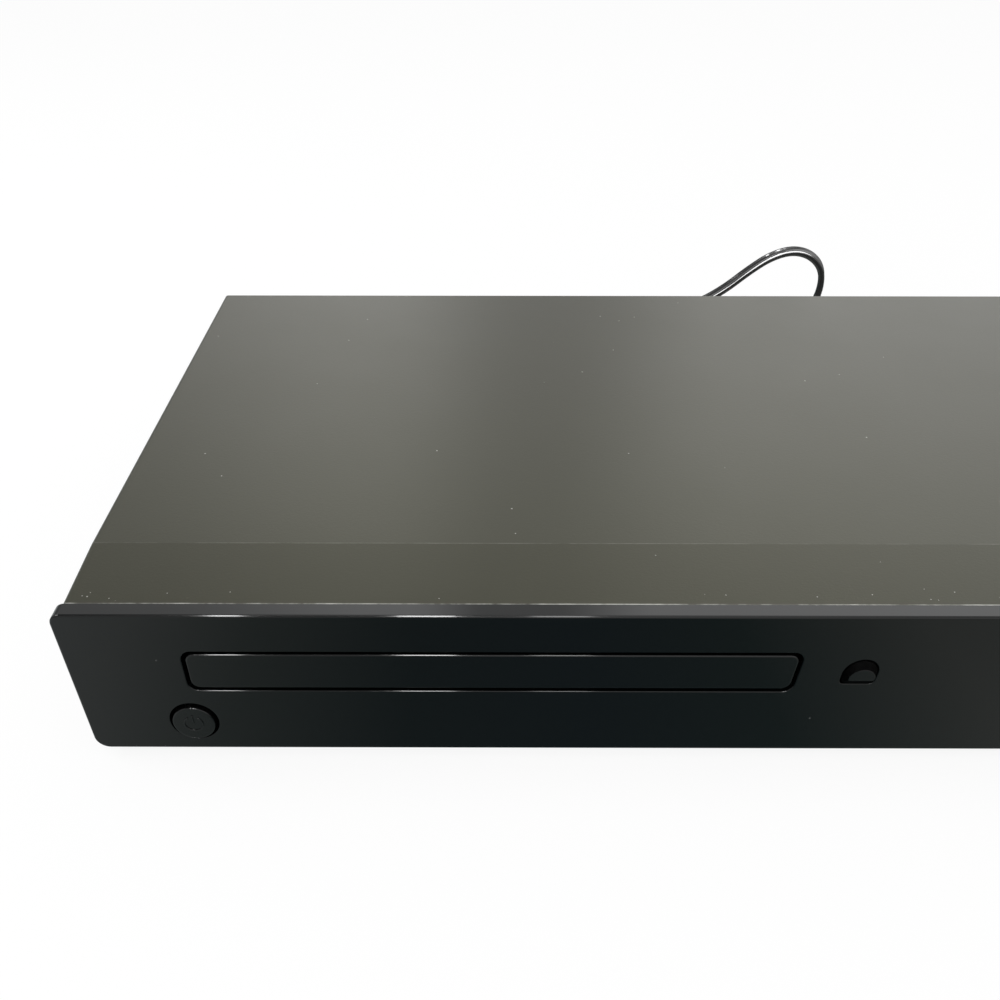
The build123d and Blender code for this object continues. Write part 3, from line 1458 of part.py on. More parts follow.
def make_mains_plug():
    """Flat two-pin plug: a rounded body with a waist for the fingers and a ribbed strain relief."""
    z = coil_low + coil_pitch
    start = plug_end() - plug_relief
    end = start - plug_length
    half = plug_width / 2
    outline = [
        (start, lead_y - 5.0),
        (start - 10.0, lead_y - half + 2.5),
        (end, lead_y - half),
        (end, lead_y + half),
        (start - 10.0, lead_y + half - 2.5),
        (start, lead_y + 5.0),
    ]
    body = upright(Polygon(*outline, align=None), (z - plug_thickness / 2, z + plug_thickness / 2))
    body = fillet(body.edges().filter_by(Axis.Z), 1.8)
    body = fillet(body.faces().sort_by(Axis.Z)[-1].edges() + body.faces().sort_by(Axis.Z)[0].edges(), 1.6)
    sunk = 0.2
    middle = (start - sunk + plug_end()) / 2
    body += Pos(middle, lead_y, z) * Rot(0, 90, 0) * Cone(4.6, cord_width / 2 + 0.6, plug_relief + sunk)
    for k in range(4):
        x = start + 2.6 * k + 2.4
        body -= bar_x(6.0, lead_y, z, (x, x + 1.0)) - bar_x(cord_width / 2 + 0.4, lead_y, z, (x, x + 1.0))
    for side in (-1, 1):
        body -= bar_x(pin_radius, lead_y + side * pin_spacing / 2, z, (end, end + 6.0))
    return body


def make_plug_pins():
    """Two round pins with half-round tips, seated in the plug."""
    z = coil_low + coil_pitch
    end = plug_end() - plug_relief - plug_length
    pins = []
    for side in (-1, 1):
        pin = bar_x(pin_radius, lead_y + side * pin_spacing / 2, z, (end - pin_length, end + 6.0))
        pins.append(fillet(pin.edges().sort_by(Axis.X)[0], pin_radius - 0.4))
    return pins


def main():
    os.makedirs("parts", exist_ok=True)
    save("front_panel", make_front_panel())
    save("display_window", make_display_window())
    save("top_cover", make_top_cover())
    save("bottom_chassis", make_bottom_chassis())
    save("rear_panel", make_rear_panel())
    save("feet", *[make_foot(x, y) for x, y in foot_places()])
    save("foot_pads", *[make_foot_pad(x, y) for x, y in foot_places()])
    save("cover_screws", *make_cover_screws())
    save("tray_door", make_tray_door())
    save("power_button", make_round_button(power_x))
    save("play_button", make_round_button(play_x))
    save("eject_button", make_eject_button())
    save("front_board", make_front_board())
    save("tact_switches", *[make_tact_switch(x, z) for x, z in switch_places()])
    save("display_module", make_display_module())
    save("remote_receiver", make_remote_receiver())
    save("disc_tray", make_disc_tray())
    save("loader_frame", make_loader_frame())
    save("cam_slider", make_cam_slider())
    save("drive_gear", make_drive_gear())
    save("pulley_gear", make_pulley_gear())
    save("motor_pulley", make_motor_pulley())
    save("loading_motor", make_loading_motor())
    save("drive_belt", make_drive_belt())
    save("clamp_bridge", make_clamp_bridge())
    save("disc_clamper", make_disc_clamper())
    save("traverse_frame", make_traverse_frame())
    save("guide_rods", *make_guide_rods())
    save("spindle_motor", make_spindle_motor())
    save("turntable", make_turntable())
    save("pickup_sled", make_pickup_sled())
    save("pickup_lens", *make_pickup_lens())
    save("lead_screw", make_lead_screw())
    save("sled_motor", make_sled_motor())
    save("traverse_dampers", *make_traverse_dampers())
    save("inner_screws", *make_inner_screws())
    save("main_board", make_main_board())
    save("power_board", make_power_board())
    save("board_chips", *make_board_chips())
    save("board_capacitors", *make_board_capacitors())
    save("transformer", make_transformer())
    save("bulk_capacitor", make_bulk_capacitor())
    save("fuse", make_fuse())
    save("heat_sink", make_heat_sink())
    save("line_filter", make_line_filter())
    save("board_connectors", *make_board_connectors())
    save("ribbon_cables", *make_ribbon_cables())
    save("jack_block", make_jack_block())
    save("jack_shells", *[make_jack_barrel(x) for x in jack_places()])
    for name, x in zip(("digital_ring", "video_ring", "left_audio_ring", "right_audio_ring"), jack_places()):
        save(name, make_jack_ring(x))
    save("cord_gland", make_cord_gland())
    free, free_length = make_power_cord()
    coil, coil_length = make_cord_coil()
    print("mains lead", round(free_length + coil_length, 0))
    save("power_cord", free)
    save("cord_coil", coil)
    save("cord_tie", make_cord_tie())
    save("mains_plug", make_mains_plug())
    save("plug_pins", *make_plug_pins())


main()
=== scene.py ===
from collections import namedtuple
from math import cos, hypot, pi, radians, sin

import bmesh
import bpy
from mathutils import Matrix, Vector


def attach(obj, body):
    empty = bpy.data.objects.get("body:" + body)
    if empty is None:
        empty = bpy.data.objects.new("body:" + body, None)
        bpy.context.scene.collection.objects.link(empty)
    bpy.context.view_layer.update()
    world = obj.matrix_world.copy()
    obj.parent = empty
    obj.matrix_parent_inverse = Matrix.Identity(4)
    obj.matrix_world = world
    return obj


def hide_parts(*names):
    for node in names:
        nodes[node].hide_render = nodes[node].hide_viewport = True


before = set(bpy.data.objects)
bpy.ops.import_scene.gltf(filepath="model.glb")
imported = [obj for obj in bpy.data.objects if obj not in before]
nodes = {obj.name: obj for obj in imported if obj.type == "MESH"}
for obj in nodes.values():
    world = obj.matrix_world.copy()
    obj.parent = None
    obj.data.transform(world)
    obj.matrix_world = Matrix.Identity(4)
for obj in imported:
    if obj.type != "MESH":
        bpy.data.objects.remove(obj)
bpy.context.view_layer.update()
scene = bpy.context.scene

# Room: a plain pale table top and backdrop under soft light, and the camera; in reflections the table top
# glows with a painted shade band.
# The camera stands close in front of the player's left half and looks down at it,
# so that the right end and the lower cord lie outside the picture.
scene.view_settings.view_transform = "Standard"


def new_material(name):
    material = bpy.data.materials.new(name)
    material.use_nodes = True
    tree = material.node_tree
    tree.nodes.clear()
    out = tree.nodes.new("ShaderNodeOutputMaterial")
    return material, tree, out


def add(tree, kind, inputs=None, **settings):
    """One node with its settings; an input is a value or another node's output."""
    node = tree.nodes.new(kind)
    for key, value in settings.items():
        setattr(node, key, value)
    for key, value in (inputs or {}).items():
        if isinstance(value, bpy.types.NodeSocket):
            tree.links.new(value, node.inputs[key])
        else:
            node.inputs[key].default_value = value
    return node


def math(tree, operation, a, b=0.0, c=0.0, clamp=False):
    node = add(tree, "ShaderNodeMath", {0: a, 1: b, 2: c}, operation=operation, use_clamp=clamp)
    return node.outputs[0]


def above(tree, value, limit):
    return math(tree, "GREATER_THAN", value, limit)


def below(tree, value, limit):
    return math(tree, "LESS_THAN", value, limit)


def times(tree, a, b):
    """Product of two numbers, which for two masks is where both hold."""
    return math(tree, "MULTIPLY", a, b)


def mix(tree, share, low, high):
    return add(tree, "ShaderNodeMix", {0: share, 2: low, 3: high}).outputs[0]


def split(tree, vector):
    """X, Y and Z of a vector."""
    return add(tree, "ShaderNodeSeparateXYZ", {0: vector}).outputs


def own_place(tree):
    return add(tree, "ShaderNodeTexCoord").outputs["Object"]


def ramp(tree, factor, stops, interpolation="LINEAR"):
    """Ramp from the first to the last stop; a stop is a position and a grey level or a colour."""
    node = add(tree, "ShaderNodeValToRGB", {0: factor})
    node.color_ramp.interpolation = interpolation
    elements = node.color_ramp.elements
    elements[0].position, elements[1].position = stops[0][0], stops[-1][0]
    ends = (elements[0], stops[0][1]), (elements[1], stops[-1][1])
    for element, tone in ends:
        element.color = (*tone, 1) if isinstance(tone, tuple) else (tone, tone, tone, 1)
    for position, tone in stops[1:-1]:
        elements.new(position).color = (*tone, 1) if isinstance(tone, tuple) else (tone, tone, tone, 1)
    return node.outputs[0]


room_level = 0.58
mirror_gain = 3.4
tube_gain = 20.0
tubes_until_y, tubes_from_z = 0.12, 0.62

world = bpy.data.worlds.new("studio")
scene.world = world
world.use_nodes = True
sky = world.node_tree
sky.nodes.clear()
rays = add(sky, "ShaderNodeLightPath").outputs
ways = split(sky, add(sky, "ShaderNodeTexCoord").outputs["Generated"])
by_height = ramp(sky, ways[2], (
    (0.10, 0.33), (0.31, 0.38), (0.45, 0.60), (0.60, 0.54), (0.70, 0.42), (0.80, 0.19), (0.98, 0.12)))
heading = math(sky, "ARCTAN2", ways[0], ways[1])
by_heading = ramp(sky, math(sky, "MULTIPLY_ADD", heading, 0.5 / pi, 0.5), (
    (0.325, 0.34), (0.385, 0.24), (0.44, 0.44), (0.478, 0.84), (0.494, 0.92), (0.508, 0.42),
    (0.528, 0.42), (0.546, 0.90), (0.60, 0.80), (0.66, 0.46), (0.69, 0.55)))
tubes = ramp(sky, math(sky, "ADD", ways[0], 0.5), (
    (0.0, 0.0), (0.2335, 1.0), (0.2694, 0.0), (0.442, 1.0), (0.511, 0.0), (0.598, 0.25),
    (0.667, 0.0)), "CONSTANT")
overhead = times(sky, below(sky, ways[1], tubes_until_y), above(sky, ways[2], tubes_from_z))
mirrored = times(sky, times(sky, by_height, by_heading), mirror_gain)
mirrored = math(sky, "MULTIPLY_ADD", times(sky, tubes, overhead), tube_gain, mirrored)
plain = math(sky, "MAXIMUM", rays["Is Camera Ray"], rays["Is Transmission Ray"], clamp=True)
level = mix(sky, plain, mix(sky, rays["Is Glossy Ray"], room_level, mirrored), 1.0)
backdrop = add(sky, "ShaderNodeBackground", {"Color": (1, 1, 1, 1), "Strength": level})
add(sky, "ShaderNodeOutputWorld", {"Surface": backdrop.outputs[0]})

table_half = 3
bright_share, bright_level = 0.88, 1.03
mirrored_half = 0.25

floor_mesh = bpy.data.meshes.new("table_top")
corners = [(x * table_half, y * table_half, 0) for x, y in ((-1, -1), (1, -1), (1, 1), (-1, 1))]
floor_mesh.from_pydata(corners, [], [(0, 1, 2, 3)])
floor = bpy.data.objects.new("table_top", floor_mesh)
scene.collection.objects.link(floor)
pale, tree, out = new_material("pale_table")
rays = add(tree, "ShaderNodeLightPath").outputs
matt = add(tree, "ShaderNodeBsdfDiffuse", {"Color": (0.9, 0.9, 0.9, 1)})
bright = add(tree, "ShaderNodeEmission", {"Color": (1, 1, 1, 1), "Strength": bright_level})
share = times(tree, rays["Is Camera Ray"], bright_share)
seen = add(tree, "ShaderNodeMixShader", {0: share, 1: matt.outputs[0], 2: bright.outputs[0]})
# Painted shade: glossy rays see the table top as a glow, dark across the middle in X and brighter towards
# both ends, so the gloss fascia shows a painted reflection of shade.
across = split(tree, own_place(tree))[0]
across = add(tree, "ShaderNodeMapRange", {0: across, 1: -mirrored_half, 2: mirrored_half}).outputs[0]
painted_shade_band = ramp(tree, across, (
    (0.04, (0.60, 0.64, 0.64)), (0.12, (0.46, 0.49, 0.48)), (0.20, (0.24, 0.28, 0.27)),
    (0.30, (0.10, 0.14, 0.15)), (0.40, (0.09, 0.13, 0.15)), (0.50, (0.11, 0.16, 0.16)),
    (0.62, (0.34, 0.36, 0.34))))
shadowy = add(tree, "ShaderNodeEmission", {"Color": painted_shade_band, "Strength": 1.0})
table = add(tree, "ShaderNodeMixShader", {
    0: rays["Is Glossy Ray"], 1: seen.outputs[0], 2: shadowy.outputs[0]})
tree.links.new(table.outputs[0], out.inputs[0])
floor_mesh.materials.append(pale)


def lamp(name, place, target, size, power):
    """Soft lamp of the given width and length that faces a point."""
    light = bpy.data.lights.new(name, "AREA")
    light.shape = "RECTANGLE"
    light.size, light.size_y = size
    light.energy = power
    obj = bpy.data.objects.new(name, light)
    obj.location = place
    obj.rotation_euler = (Vector(target) - Vector(place)).to_track_quat("-Z", "Y").to_euler()
    scene.collection.objects.link(obj)
    return obj


lamp("overhead", (0.1, -0.1, 1.6), (0, 0, 0), (1.6, 1.6), 6.0)
lamp("left_softbox", (-1.05, 0.10, 1.05), (0, 0.10, 0.05), (0.40, 0.40), 4.0)
cord_light = lamp("cord_light", (0.40, -0.85, 1.05), (0.10, 0.13, 0.05), (2.2, 1.5), 130.0)

look_down = 42.94
camera_data = bpy.data.cameras.new("camera")
camera_data.sensor_width = 36.0
camera_data.lens = 30.957
camera_data.shift_x = 0.0570
camera_data.shift_y = 0.1905
camera_data.clip_start = 0.01
camera = bpy.data.objects.new("camera", camera_data)
camera.location = (-0.09063, -0.25868, 0.16495)
camera.rotation_euler = (radians(90 - look_down), radians(-0.03), radians(0.15))
scene.collection.objects.link(camera)
scene.camera = camera

# Mains lead: two thin copper cores side by side in black flexible covering, wider than thick.
# It leaves the back through the strain relief, stands up in one loop behind the cover,
# and the put-away length lies behind the player in a coil of two layers.
cord_width = 0.0044
cord_thick = 0.0029
coil_x, lead_y = -0.074, 0.1205
coil_pitch, coil_inner, coil_turns = 0.005, 0.0144, 4
coil_outer = coil_inner + coil_pitch * coil_turns
coil_y = lead_y + coil_outer
coil_low = 0.003
coil_high = coil_low + coil_pitch
climb_turns = 0.5
per_turn = 16
plug_end = coil_x - 0.035
route_mm = [
    (68, 114.425, 18), (68, 122.4, 18), (68.3, 129.4, 22), (70, 133.4, 29.2), (72.5, 134.2, 37.8),
    (70.4, 133.8, 46.8), (63.7, 133, 52.5), (55.1, 132, 54.5), (46.4, 131.5, 52.1), (38.4, 131, 46.7),
    (30, 131, 39.4), (20, 131, 33.2), (8, 130.4, 30.2), (-6, 129, 27.5), (-20, 126.5, 21),
    (-34, 123.5, 12), (-47, 121.3, 5.5), (-58, 120.5, 3),
]


def passed(value, start, reach):
    """0 up to the start, 1 beyond the reach, and straight between."""
    return min(max((value - start) / reach, 0), 1)


def eased(share):
    return share * share * (3 - 2 * share)


route = [Vector(p) / 1000 for p in route_mm]
route += [Vector((x, lead_y, coil_low)) for x in (coil_x + cord_width, coil_x + 0.001)]
swell = 1 + (1 / cos(pi / per_turn) - 1) * 0.5
for k in range(1, 2 * coil_turns * per_turn):
    turns = k / per_turn
    angle = -pi / 2 - 2 * pi * turns
    radius = (coil_inner + coil_pitch * abs(coil_turns - turns)) * swell
    climb = eased(passed(turns, coil_turns - climb_turns / 2, climb_turns))
    z = coil_low + coil_pitch * climb
    route.append(Vector((coil_x + radius * cos(angle), coil_y + radius * sin(angle), z)))
last_places = (coil_x - 0.002, coil_x - 0.0115, coil_x - 0.0232, plug_end)
route += [Vector((x, lead_y, coil_high)) for x in last_places]

route_curve = bpy.data.curves.new("lead_route", "CURVE")
route_curve.dimensions = "3D"
spline = route_curve.splines.new("NURBS")
spline.points.add(len(route) - 1)
for point, place in zip(spline.points, route):
    point.co = (*place, 1)
spline.order_u = 3
spline.use_endpoint_u = True
spline.resolution_u = 12
route_object = bpy.data.objects.new("lead_route", route_curve)
scene.collection.objects.link(route_object)
bpy.context.view_layer.update()
evaluated = route_object.evaluated_get(bpy.context.evaluated_depsgraph_get())
line = [v.co.copy() for v in bpy.data.meshes.new_from_object(evaluated).vertices]
bpy.data.objects.remove(route_object)
lengths = [0.0]
for a, b in zip(line, line[1:]):
    lengths.append(lengths[-1] + (b - a).length)
lead_length = lengths[-1]

tiny = 1e-6
section_points = 24
waist_share, waist_reach = 0.50, 0.5
loop_from, loop_until, loop_lean = 0.012, 0.115, -0.30
lean_in, lean_out = 0.02, 0.03
flat_until, edge_from = 0.150, 0.2
edge_until, edge_out = lead_length - 0.034, 0.03


def flat_twin_section():
    """Outline of two cores side by side: a round at each edge and a shallow waist between them."""
    outline = []
    core = cord_thick / 2
    offset = cord_width / 2 - core
    for k in range(section_points):
        angle = 2 * pi * k / section_points
        aside = abs(cos(angle))
        x = 0.0 if aside < tiny else offset * (1 if cos(angle) > 0 else -1) + core * cos(angle)
        waist = min(1.0, waist_share + (1 - waist_share) * (aside / waist_reach))
        outline.append((x, core * sin(angle) * waist))
    return outline


def flat_cord_mesh(name):
    """The flat section swept along the line, flat on its side first and on edge in the coil."""
    section = flat_twin_section()
    vertices, faces = [], []
    for k, place in enumerate(line):
        ahead = line[min(k + 1, len(line) - 1)] - line[max(k - 1, 0)]
        ahead.normalize()
        at = lengths[k]
        on_edge = passed(at, flat_until, edge_from - flat_until) - passed(at, edge_until, edge_out)
        turn = eased(on_edge) * pi / 2
        wide = Vector((0, cos(turn), sin(turn)))
        lean = passed(at, loop_from, lean_in) - passed(at, loop_until, lean_out)
        wide += ahead.cross(Vector((0, 1, 0))) * loop_lean * lean
        if turn > pi / 2 - tiny:
            wide = Vector((0, 0, 1))
        wide -= ahead * wide.dot(ahead)
        wide.normalize()
        thick = ahead.cross(wide)
        for x, y in section:
            vertices.append(place + wide * x + thick * y)
    count = len(section)
    for k in range(len(line) - 1):
        for j in range(count):
            a = k * count + j
            b = k * count + (j + 1) % count
            faces.append((a, b, b + count, a + count))
    faces.append(tuple(range(count - 1, -1, -1)))
    faces.append(tuple(range((len(line) - 1) * count, len(line) * count)))
    mesh = bpy.data.meshes.new(name)
    mesh.from_pydata(vertices, [], faces)
    for polygon in mesh.polygons:
        polygon.use_smooth = True
    return mesh


lead_mesh = flat_cord_mesh("mains_lead")
lead = bpy.data.objects.new("mains_lead", lead_mesh)
scene.collection.objects.link(lead)
lit_by_it = bpy.data.collections.new("cord_light_on")
lit_by_it.objects.link(lead)
cord_light.light_linking.receiver_collection = lit_by_it


def shared_effect(name, inputs, outputs):
    """Node group with numbers in, at the values given, and numbers out."""
    tree = bpy.data.node_groups.new(name, "ShaderNodeTree")
    for label, value in inputs.items():
        socket = tree.interface.new_socket(label, in_out="INPUT", socket_type="NodeSocketFloat")
        socket.default_value = value
    for label in outputs:
        tree.interface.new_socket(label, in_out="OUTPUT", socket_type="NodeSocketFloat")
    return tree, add(tree, "NodeGroupInput").outputs


grain, given = shared_effect("surface_grain", {"Scale": 800.0, "Depth": 0.1}, ("Height", "Spread"))
place = own_place(grain)
fine = add(grain, "ShaderNodeTexNoise", {"Vector": place, "Scale": given["Scale"], "Detail": 3.0})
coarse = add(grain, "ShaderNodeTexNoise", {
    "Vector": place, "Scale": 24.0, "Detail": 4.0, "Roughness": 0.6})
raised = times(grain, fine.outputs[0], given["Depth"])
add(grain, "NodeGroupOutput", {"Height": raised, "Spread": coarse.outputs[0]})

dust, given = shared_effect("lying_dust", {"Scale": 150.0, "Share": 0.2, "Size": 0.03}, ("Mask",))
specks = add(dust, "ShaderNodeTexVoronoi", {"Vector": own_place(dust), "Scale": given["Scale"]})
pick = add(dust, "ShaderNodeSeparateColor", {0: specks.outputs["Color"]})
kept = below(dust, pick.outputs[0], given["Share"])
small = below(dust, specks.outputs["Distance"], given["Size"])
add(dust, "NodeGroupOutput", {"Mask": times(dust, kept, small)})


def effect(tree, content, **values):
    node = add(tree, "ShaderNodeGroup", node_tree=content)
    for key, value in values.items():
        node.inputs[key].default_value = value
    return node.outputs


def tint(tree, mask, low, high):
    """Colour that goes from one to the other with a mask; each is a colour or a node's output."""
    low, high = ((*tone, 1) if isinstance(tone, tuple) else tone for tone in (low, high))
    return add(tree, "ShaderNodeMix", {0: mask, 6: low, 7: high}, data_type="RGBA").outputs[2]


def between(tree, mask, low, high):
    return add(tree, "ShaderNodeMapRange", {0: mask, 3: low, 4: high}).outputs[0]


def bumped(tree, height, distance):
    return add(tree, "ShaderNodeBump", {"Height": height, "Distance": distance}).outputs[0]


def coat(tree, out, inputs):
    shader = add(tree, "ShaderNodeBsdfPrincipled", inputs)
    tree.links.new(shader.outputs[0], out.inputs[0])


def moulded(name, low, high, rough, scale=900.0, depth=0.15, distance=0.0002, level=0.5, metal=0.0):
    """Moulded or rolled surface: two near colours, a fine grain and patches of roughness."""
    material, tree, out = new_material(name)
    surface = effect(tree, grain, Scale=scale, Depth=depth)
    coat(tree, out, {
        "Base Color": tint(tree, surface["Spread"], low, high),
        "Roughness": between(tree, surface["Spread"], *rough),
        "Normal": bumped(tree, surface["Height"], distance),
        "Metallic": metal, "Specular IOR Level": level})
    return material


def grey(level):
    return (level, level, level)


def dress(material, *names):
    for name in names:
        mesh = nodes[name].data
        mesh.materials.clear()
        mesh.materials.append(material)


cord_skin = moulded("black_cord", grey(0.004), grey(0.009), (0.10, 0.16), 1500.0, 0.003, 0.0001, 1.0)
lead_mesh.materials.append(cord_skin)
dress(cord_skin, "cord_gland", "mains_plug")
dress(moulded("strap", grey(0.02), grey(0.03), (0.4, 0.6)), "cord_tie")
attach(lead, "case")
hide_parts("power_cord", "cord_coil")

# Cover: pressed steel sheet, folded down at both sides and at the back, in fine satin dark grey paint.
# Its front strip falls a little towards the fascia, and screws hold it at the sides and the back.
fascia_y = -0.106575
cover_front = fascia_y + 0.0048
crease_y = fascia_y + 0.028
scuffed_width = 0.006
bare_width = 0.00035
crease_half, crease_highlight_share = 0.00016, 0.16


def off(tree, value, centre):
    """How far a value is from a centre, on either side."""
    return math(tree, "ABSOLUTE", math(tree, "SUBTRACT", value, centre))


paint, tree, out = new_material("dark_satin_paint")
surface = effect(tree, grain, Scale=1500.0, Depth=0.10)
place = own_place(tree)
back = split(tree, place)[1]
cloudy = tint(tree, surface["Spread"], (0.030, 0.030, 0.023), (0.038, 0.038, 0.029))
lying = effect(tree, dust, Scale=150.0, Share=0.30, Size=0.035)["Mask"]
scuffs = effect(tree, dust, Scale=620.0, Share=0.10, Size=0.09)["Mask"]
scuffs = times(tree, scuffs, below(tree, back, cover_front + scuffed_width))
dusty = tint(tree, math(tree, "MAXIMUM", lying, scuffs), cloudy, (0.5, 0.5, 0.48))
# Painted highlight: a thin band along the crease is tinted part way towards the bare steel colour, as if
# the bend caught light.
crease_highlight = times(tree, below(tree, off(tree, back, crease_y), crease_half), crease_highlight_share)
at_edge = below(tree, back, cover_front + bare_width)
uneven = add(tree, "ShaderNodeTexNoise", {
    "Vector": place, "Scale": 55.0, "Detail": 5.0, "Roughness": 0.8}).outputs[0]
patchy_brightness = add(tree, "ShaderNodeMapRange", {0: uneven, 1: 0.42, 2: 0.62}).outputs[0]
# The bare steel colour of the cut front edge also serves as the painted highlight along the crease.
bare = tint(tree, patchy_brightness, (0.08, 0.08, 0.075), (0.55, 0.55, 0.52))
coat(tree, out, {
    "Base Color": tint(tree, math(tree, "MAXIMUM", at_edge, crease_highlight), dusty, bare),
    "Roughness": between(tree, surface["Spread"], 0.27, 0.36),
    "Normal": bumped(tree, surface["Height"], 0.0002),
    "Specular IOR Level": 0.5, "Specular Tint": (1.0, 0.985, 0.70, 1)})
dress(paint, "top_cover")

# Fascia, door and buttons: one gloss black plastic, moulded and polished.
# The fascia clips round the cover's front edge, and the door is fixed on the tray.
no_flank = 0.2


def polished(name, flank_y, body=(0.0028, 0.0036, 0.0036)):
    """Gloss plastic; what lies behind flank_y is painted near black and matte with little shine, a painted
    shade on the flank.
    """
    material, tree, out = new_material(name)
    spread = effect(tree, grain, Scale=300.0, Depth=0.02)["Spread"]
    lying = effect(tree, dust, Scale=170.0, Share=0.14, Size=0.03)["Mask"]
    shaded_flank = above(tree, split(tree, own_place(tree))[1], flank_y)
    clean = tint(tree, shaded_flank, body, grey(0.0004))
    coat(tree, out, {
        "Base Color": tint(tree, lying, clean, grey(0.25)),
        "Roughness": math(tree, "MAXIMUM", between(tree, spread, 0.04, 0.09), times(tree, shaded_flank, 0.7)),
        "Specular IOR Level": between(tree, shaded_flank, 0.5, 0.05),
        "Normal": add(tree, "ShaderNodeBevel", {"Radius": 0.00018}, samples=6).outputs[0]})
    return material


gloss = polished("gloss_black", no_flank)
dress(gloss, "front_panel", "tray_door")
dress(polished("smoked_window", no_flank, (0.009, 0.007, 0.010)), "display_window")
dress(polished("dark_red_receiver", no_flank, (0.020, 0.004, 0.005)), "remote_receiver")
# Painted shade: on the buttons the flank behind the face is near black and matte, standing in for the shade
# round the proud caps.
dress(polished("gloss_round_buttons", fascia_y - 0.0005), "power_button", "play_button")
dress(polished("gloss_arched_button", fascia_y - 0.00135), "eject_button")

button_face = fascia_y - 0.00085
button_x, button_z = 0.1531, 0.0127
symbol_rise, symbol_root = 0.00026, 0.00002
ring_radius, ring_gap, ring_steps = 0.0023, 32, 40
bar_low, bar_length, bar_steps = 0.0003, 0.0024, 6
arrow_half = 0.0016
arrow_left, arrow_tip = -0.0022, 0.0006


def raised_strokes(name, strokes, width):
    """Low rounded ridges on a button's face, along lines given in X and Z."""
    mesh = bmesh.new()
    shoulder = (0.3, symbol_rise * 0.8)
    section = ((-0.5, -symbol_root), (-shoulder[0], shoulder[1]), (0.0, symbol_rise), shoulder,
               (0.5, -symbol_root))
    for stroke in strokes:
        rows = []
        for k, (x, z) in enumerate(stroke):
            before, after = stroke[max(k - 1, 0)], stroke[min(k + 1, len(stroke) - 1)]
            run = hypot(after[0] - before[0], after[1] - before[1])
            side = (-(after[1] - before[1]) / run, (after[0] - before[0]) / run)
            rows.append([
                mesh.verts.new((x + side[0] * width * u, button_face - v, z + side[1] * width * u))
                for u, v in section])
        for a, b in zip(rows, rows[1:]):
            for k in range(len(section)):
                j = (k + 1) % len(section)
                mesh.faces.new((a[k], a[j], b[j], b[k]))
        mesh.faces.new(rows[0])
        mesh.faces.new(rows[-1][::-1])
    bmesh.ops.recalc_face_normals(mesh, faces=mesh.faces)
    data = bpy.data.meshes.new(name)
    mesh.to_mesh(data)
    mesh.free()
    for polygon in data.polygons:
        polygon.use_smooth = True
    data.materials.append(gloss)
    obj = bpy.data.objects.new(name, data)
    scene.collection.objects.link(obj)
    return obj


angles = [radians(90 + ring_gap + k * (360 - 2 * ring_gap) / ring_steps) for k in range(ring_steps + 1)]
ring = [(-button_x + ring_radius * cos(a), button_z + ring_radius * sin(a)) for a in angles]
bar = [(-button_x, button_z + bar_low + bar_length * k / bar_steps) for k in range(bar_steps + 1)]
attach(raised_strokes("power_symbol", [ring, bar], 0.00050), "power_button")
arrow = [(arrow_left, -arrow_half), (arrow_left, arrow_half), (arrow_tip, 0.0), (arrow_left, -arrow_half),
         (arrow_left, 0.0)]
arrow = [(button_x + x, button_z + z) for x, z in arrow]
pause = [[(button_x + x, button_z + z) for z in (-arrow_half, arrow_half)] for x in (0.0014, 0.0026)]
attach(raised_strokes("play_symbol", [arrow] + pause, 0.00045), "play_button")

# Steel pieces: zinc-coated sheet, pressed and folded, for the pan, the bridge and the drive.
# The back has black paint, plated screws hold the sheets, and the rods and pins are nickel-plated.
# The four socket shells are nickel-plated too, each round a white insulator.
rolled = {"distance": 0.0001, "metal": 1.0}
zinc = moulded("zinc_sheet", (0.42, 0.43, 0.44), (0.55, 0.56, 0.56), (0.30, 0.42), 400.0, 0.1, **rolled)
dress(zinc, "bottom_chassis", "clamp_bridge", "traverse_frame", "spindle_motor", "sled_motor",
      "loading_motor")
dress(moulded("black_paint", grey(0.012), grey(0.018), (0.35, 0.45), 2200.0, 0.2), "rear_panel")
plated = moulded("dark_plated_screw", grey(0.10), (0.18, 0.18, 0.17), (0.25, 0.4), 900.0, 0.05, **rolled)
dress(plated, "cover_screws", "inner_screws")
nickel = moulded("nickel", (0.60, 0.58, 0.53), (0.68, 0.66, 0.60), (0.14, 0.24), 700.0, 0.03, **rolled)
dress(nickel, "plug_pins", "guide_rods", "lead_screw")

Finish = namedtuple("Finish", "colour rough metal")
wear = 0.12


def masked(name, mask_of, inside, outside):
    """Two finishes on one piece, one where the mask holds and one outside it."""
    material, tree, out = new_material(name)
    surface = effect(tree, grain, Scale=900.0, Depth=0.06)
    mask = mask_of(tree, split(tree, own_place(tree)))
    tones = [tint(tree, surface["Spread"], tuple(0.8 * c for c in finish.colour), finish.colour)
             for finish in (outside, inside)]
    rough = between(tree, mask, outside.rough, inside.rough)
    coat(tree, out, {
        "Base Color": tint(tree, mask, *tones),
        "Roughness": math(tree, "MULTIPLY_ADD", surface["Spread"], wear, rough),
        "Metallic": between(tree, mask, outside.metal, inside.metal),
        "Normal": bumped(tree, surface["Height"], 0.0001)})
    return material


def distance(tree, a, b, centre):
    """Distance of a point from an axis, from two coordinates and the axis's place."""
    a = math(tree, "SUBTRACT", a, centre[0])
    b = math(tree, "SUBTRACT", b, centre[1])
    return math(tree, "SQRT", math(tree, "ADD", times(tree, a, a), times(tree, b, b)))


def ring_mask(tree, reach, low, high):
    return times(tree, above(tree, reach, low), below(tree, reach, high))


jack_first, jack_pitch, jack_z = 0.004, 0.014, 0.018
insulator_from, insulator_until = 0.0019, 0.0033


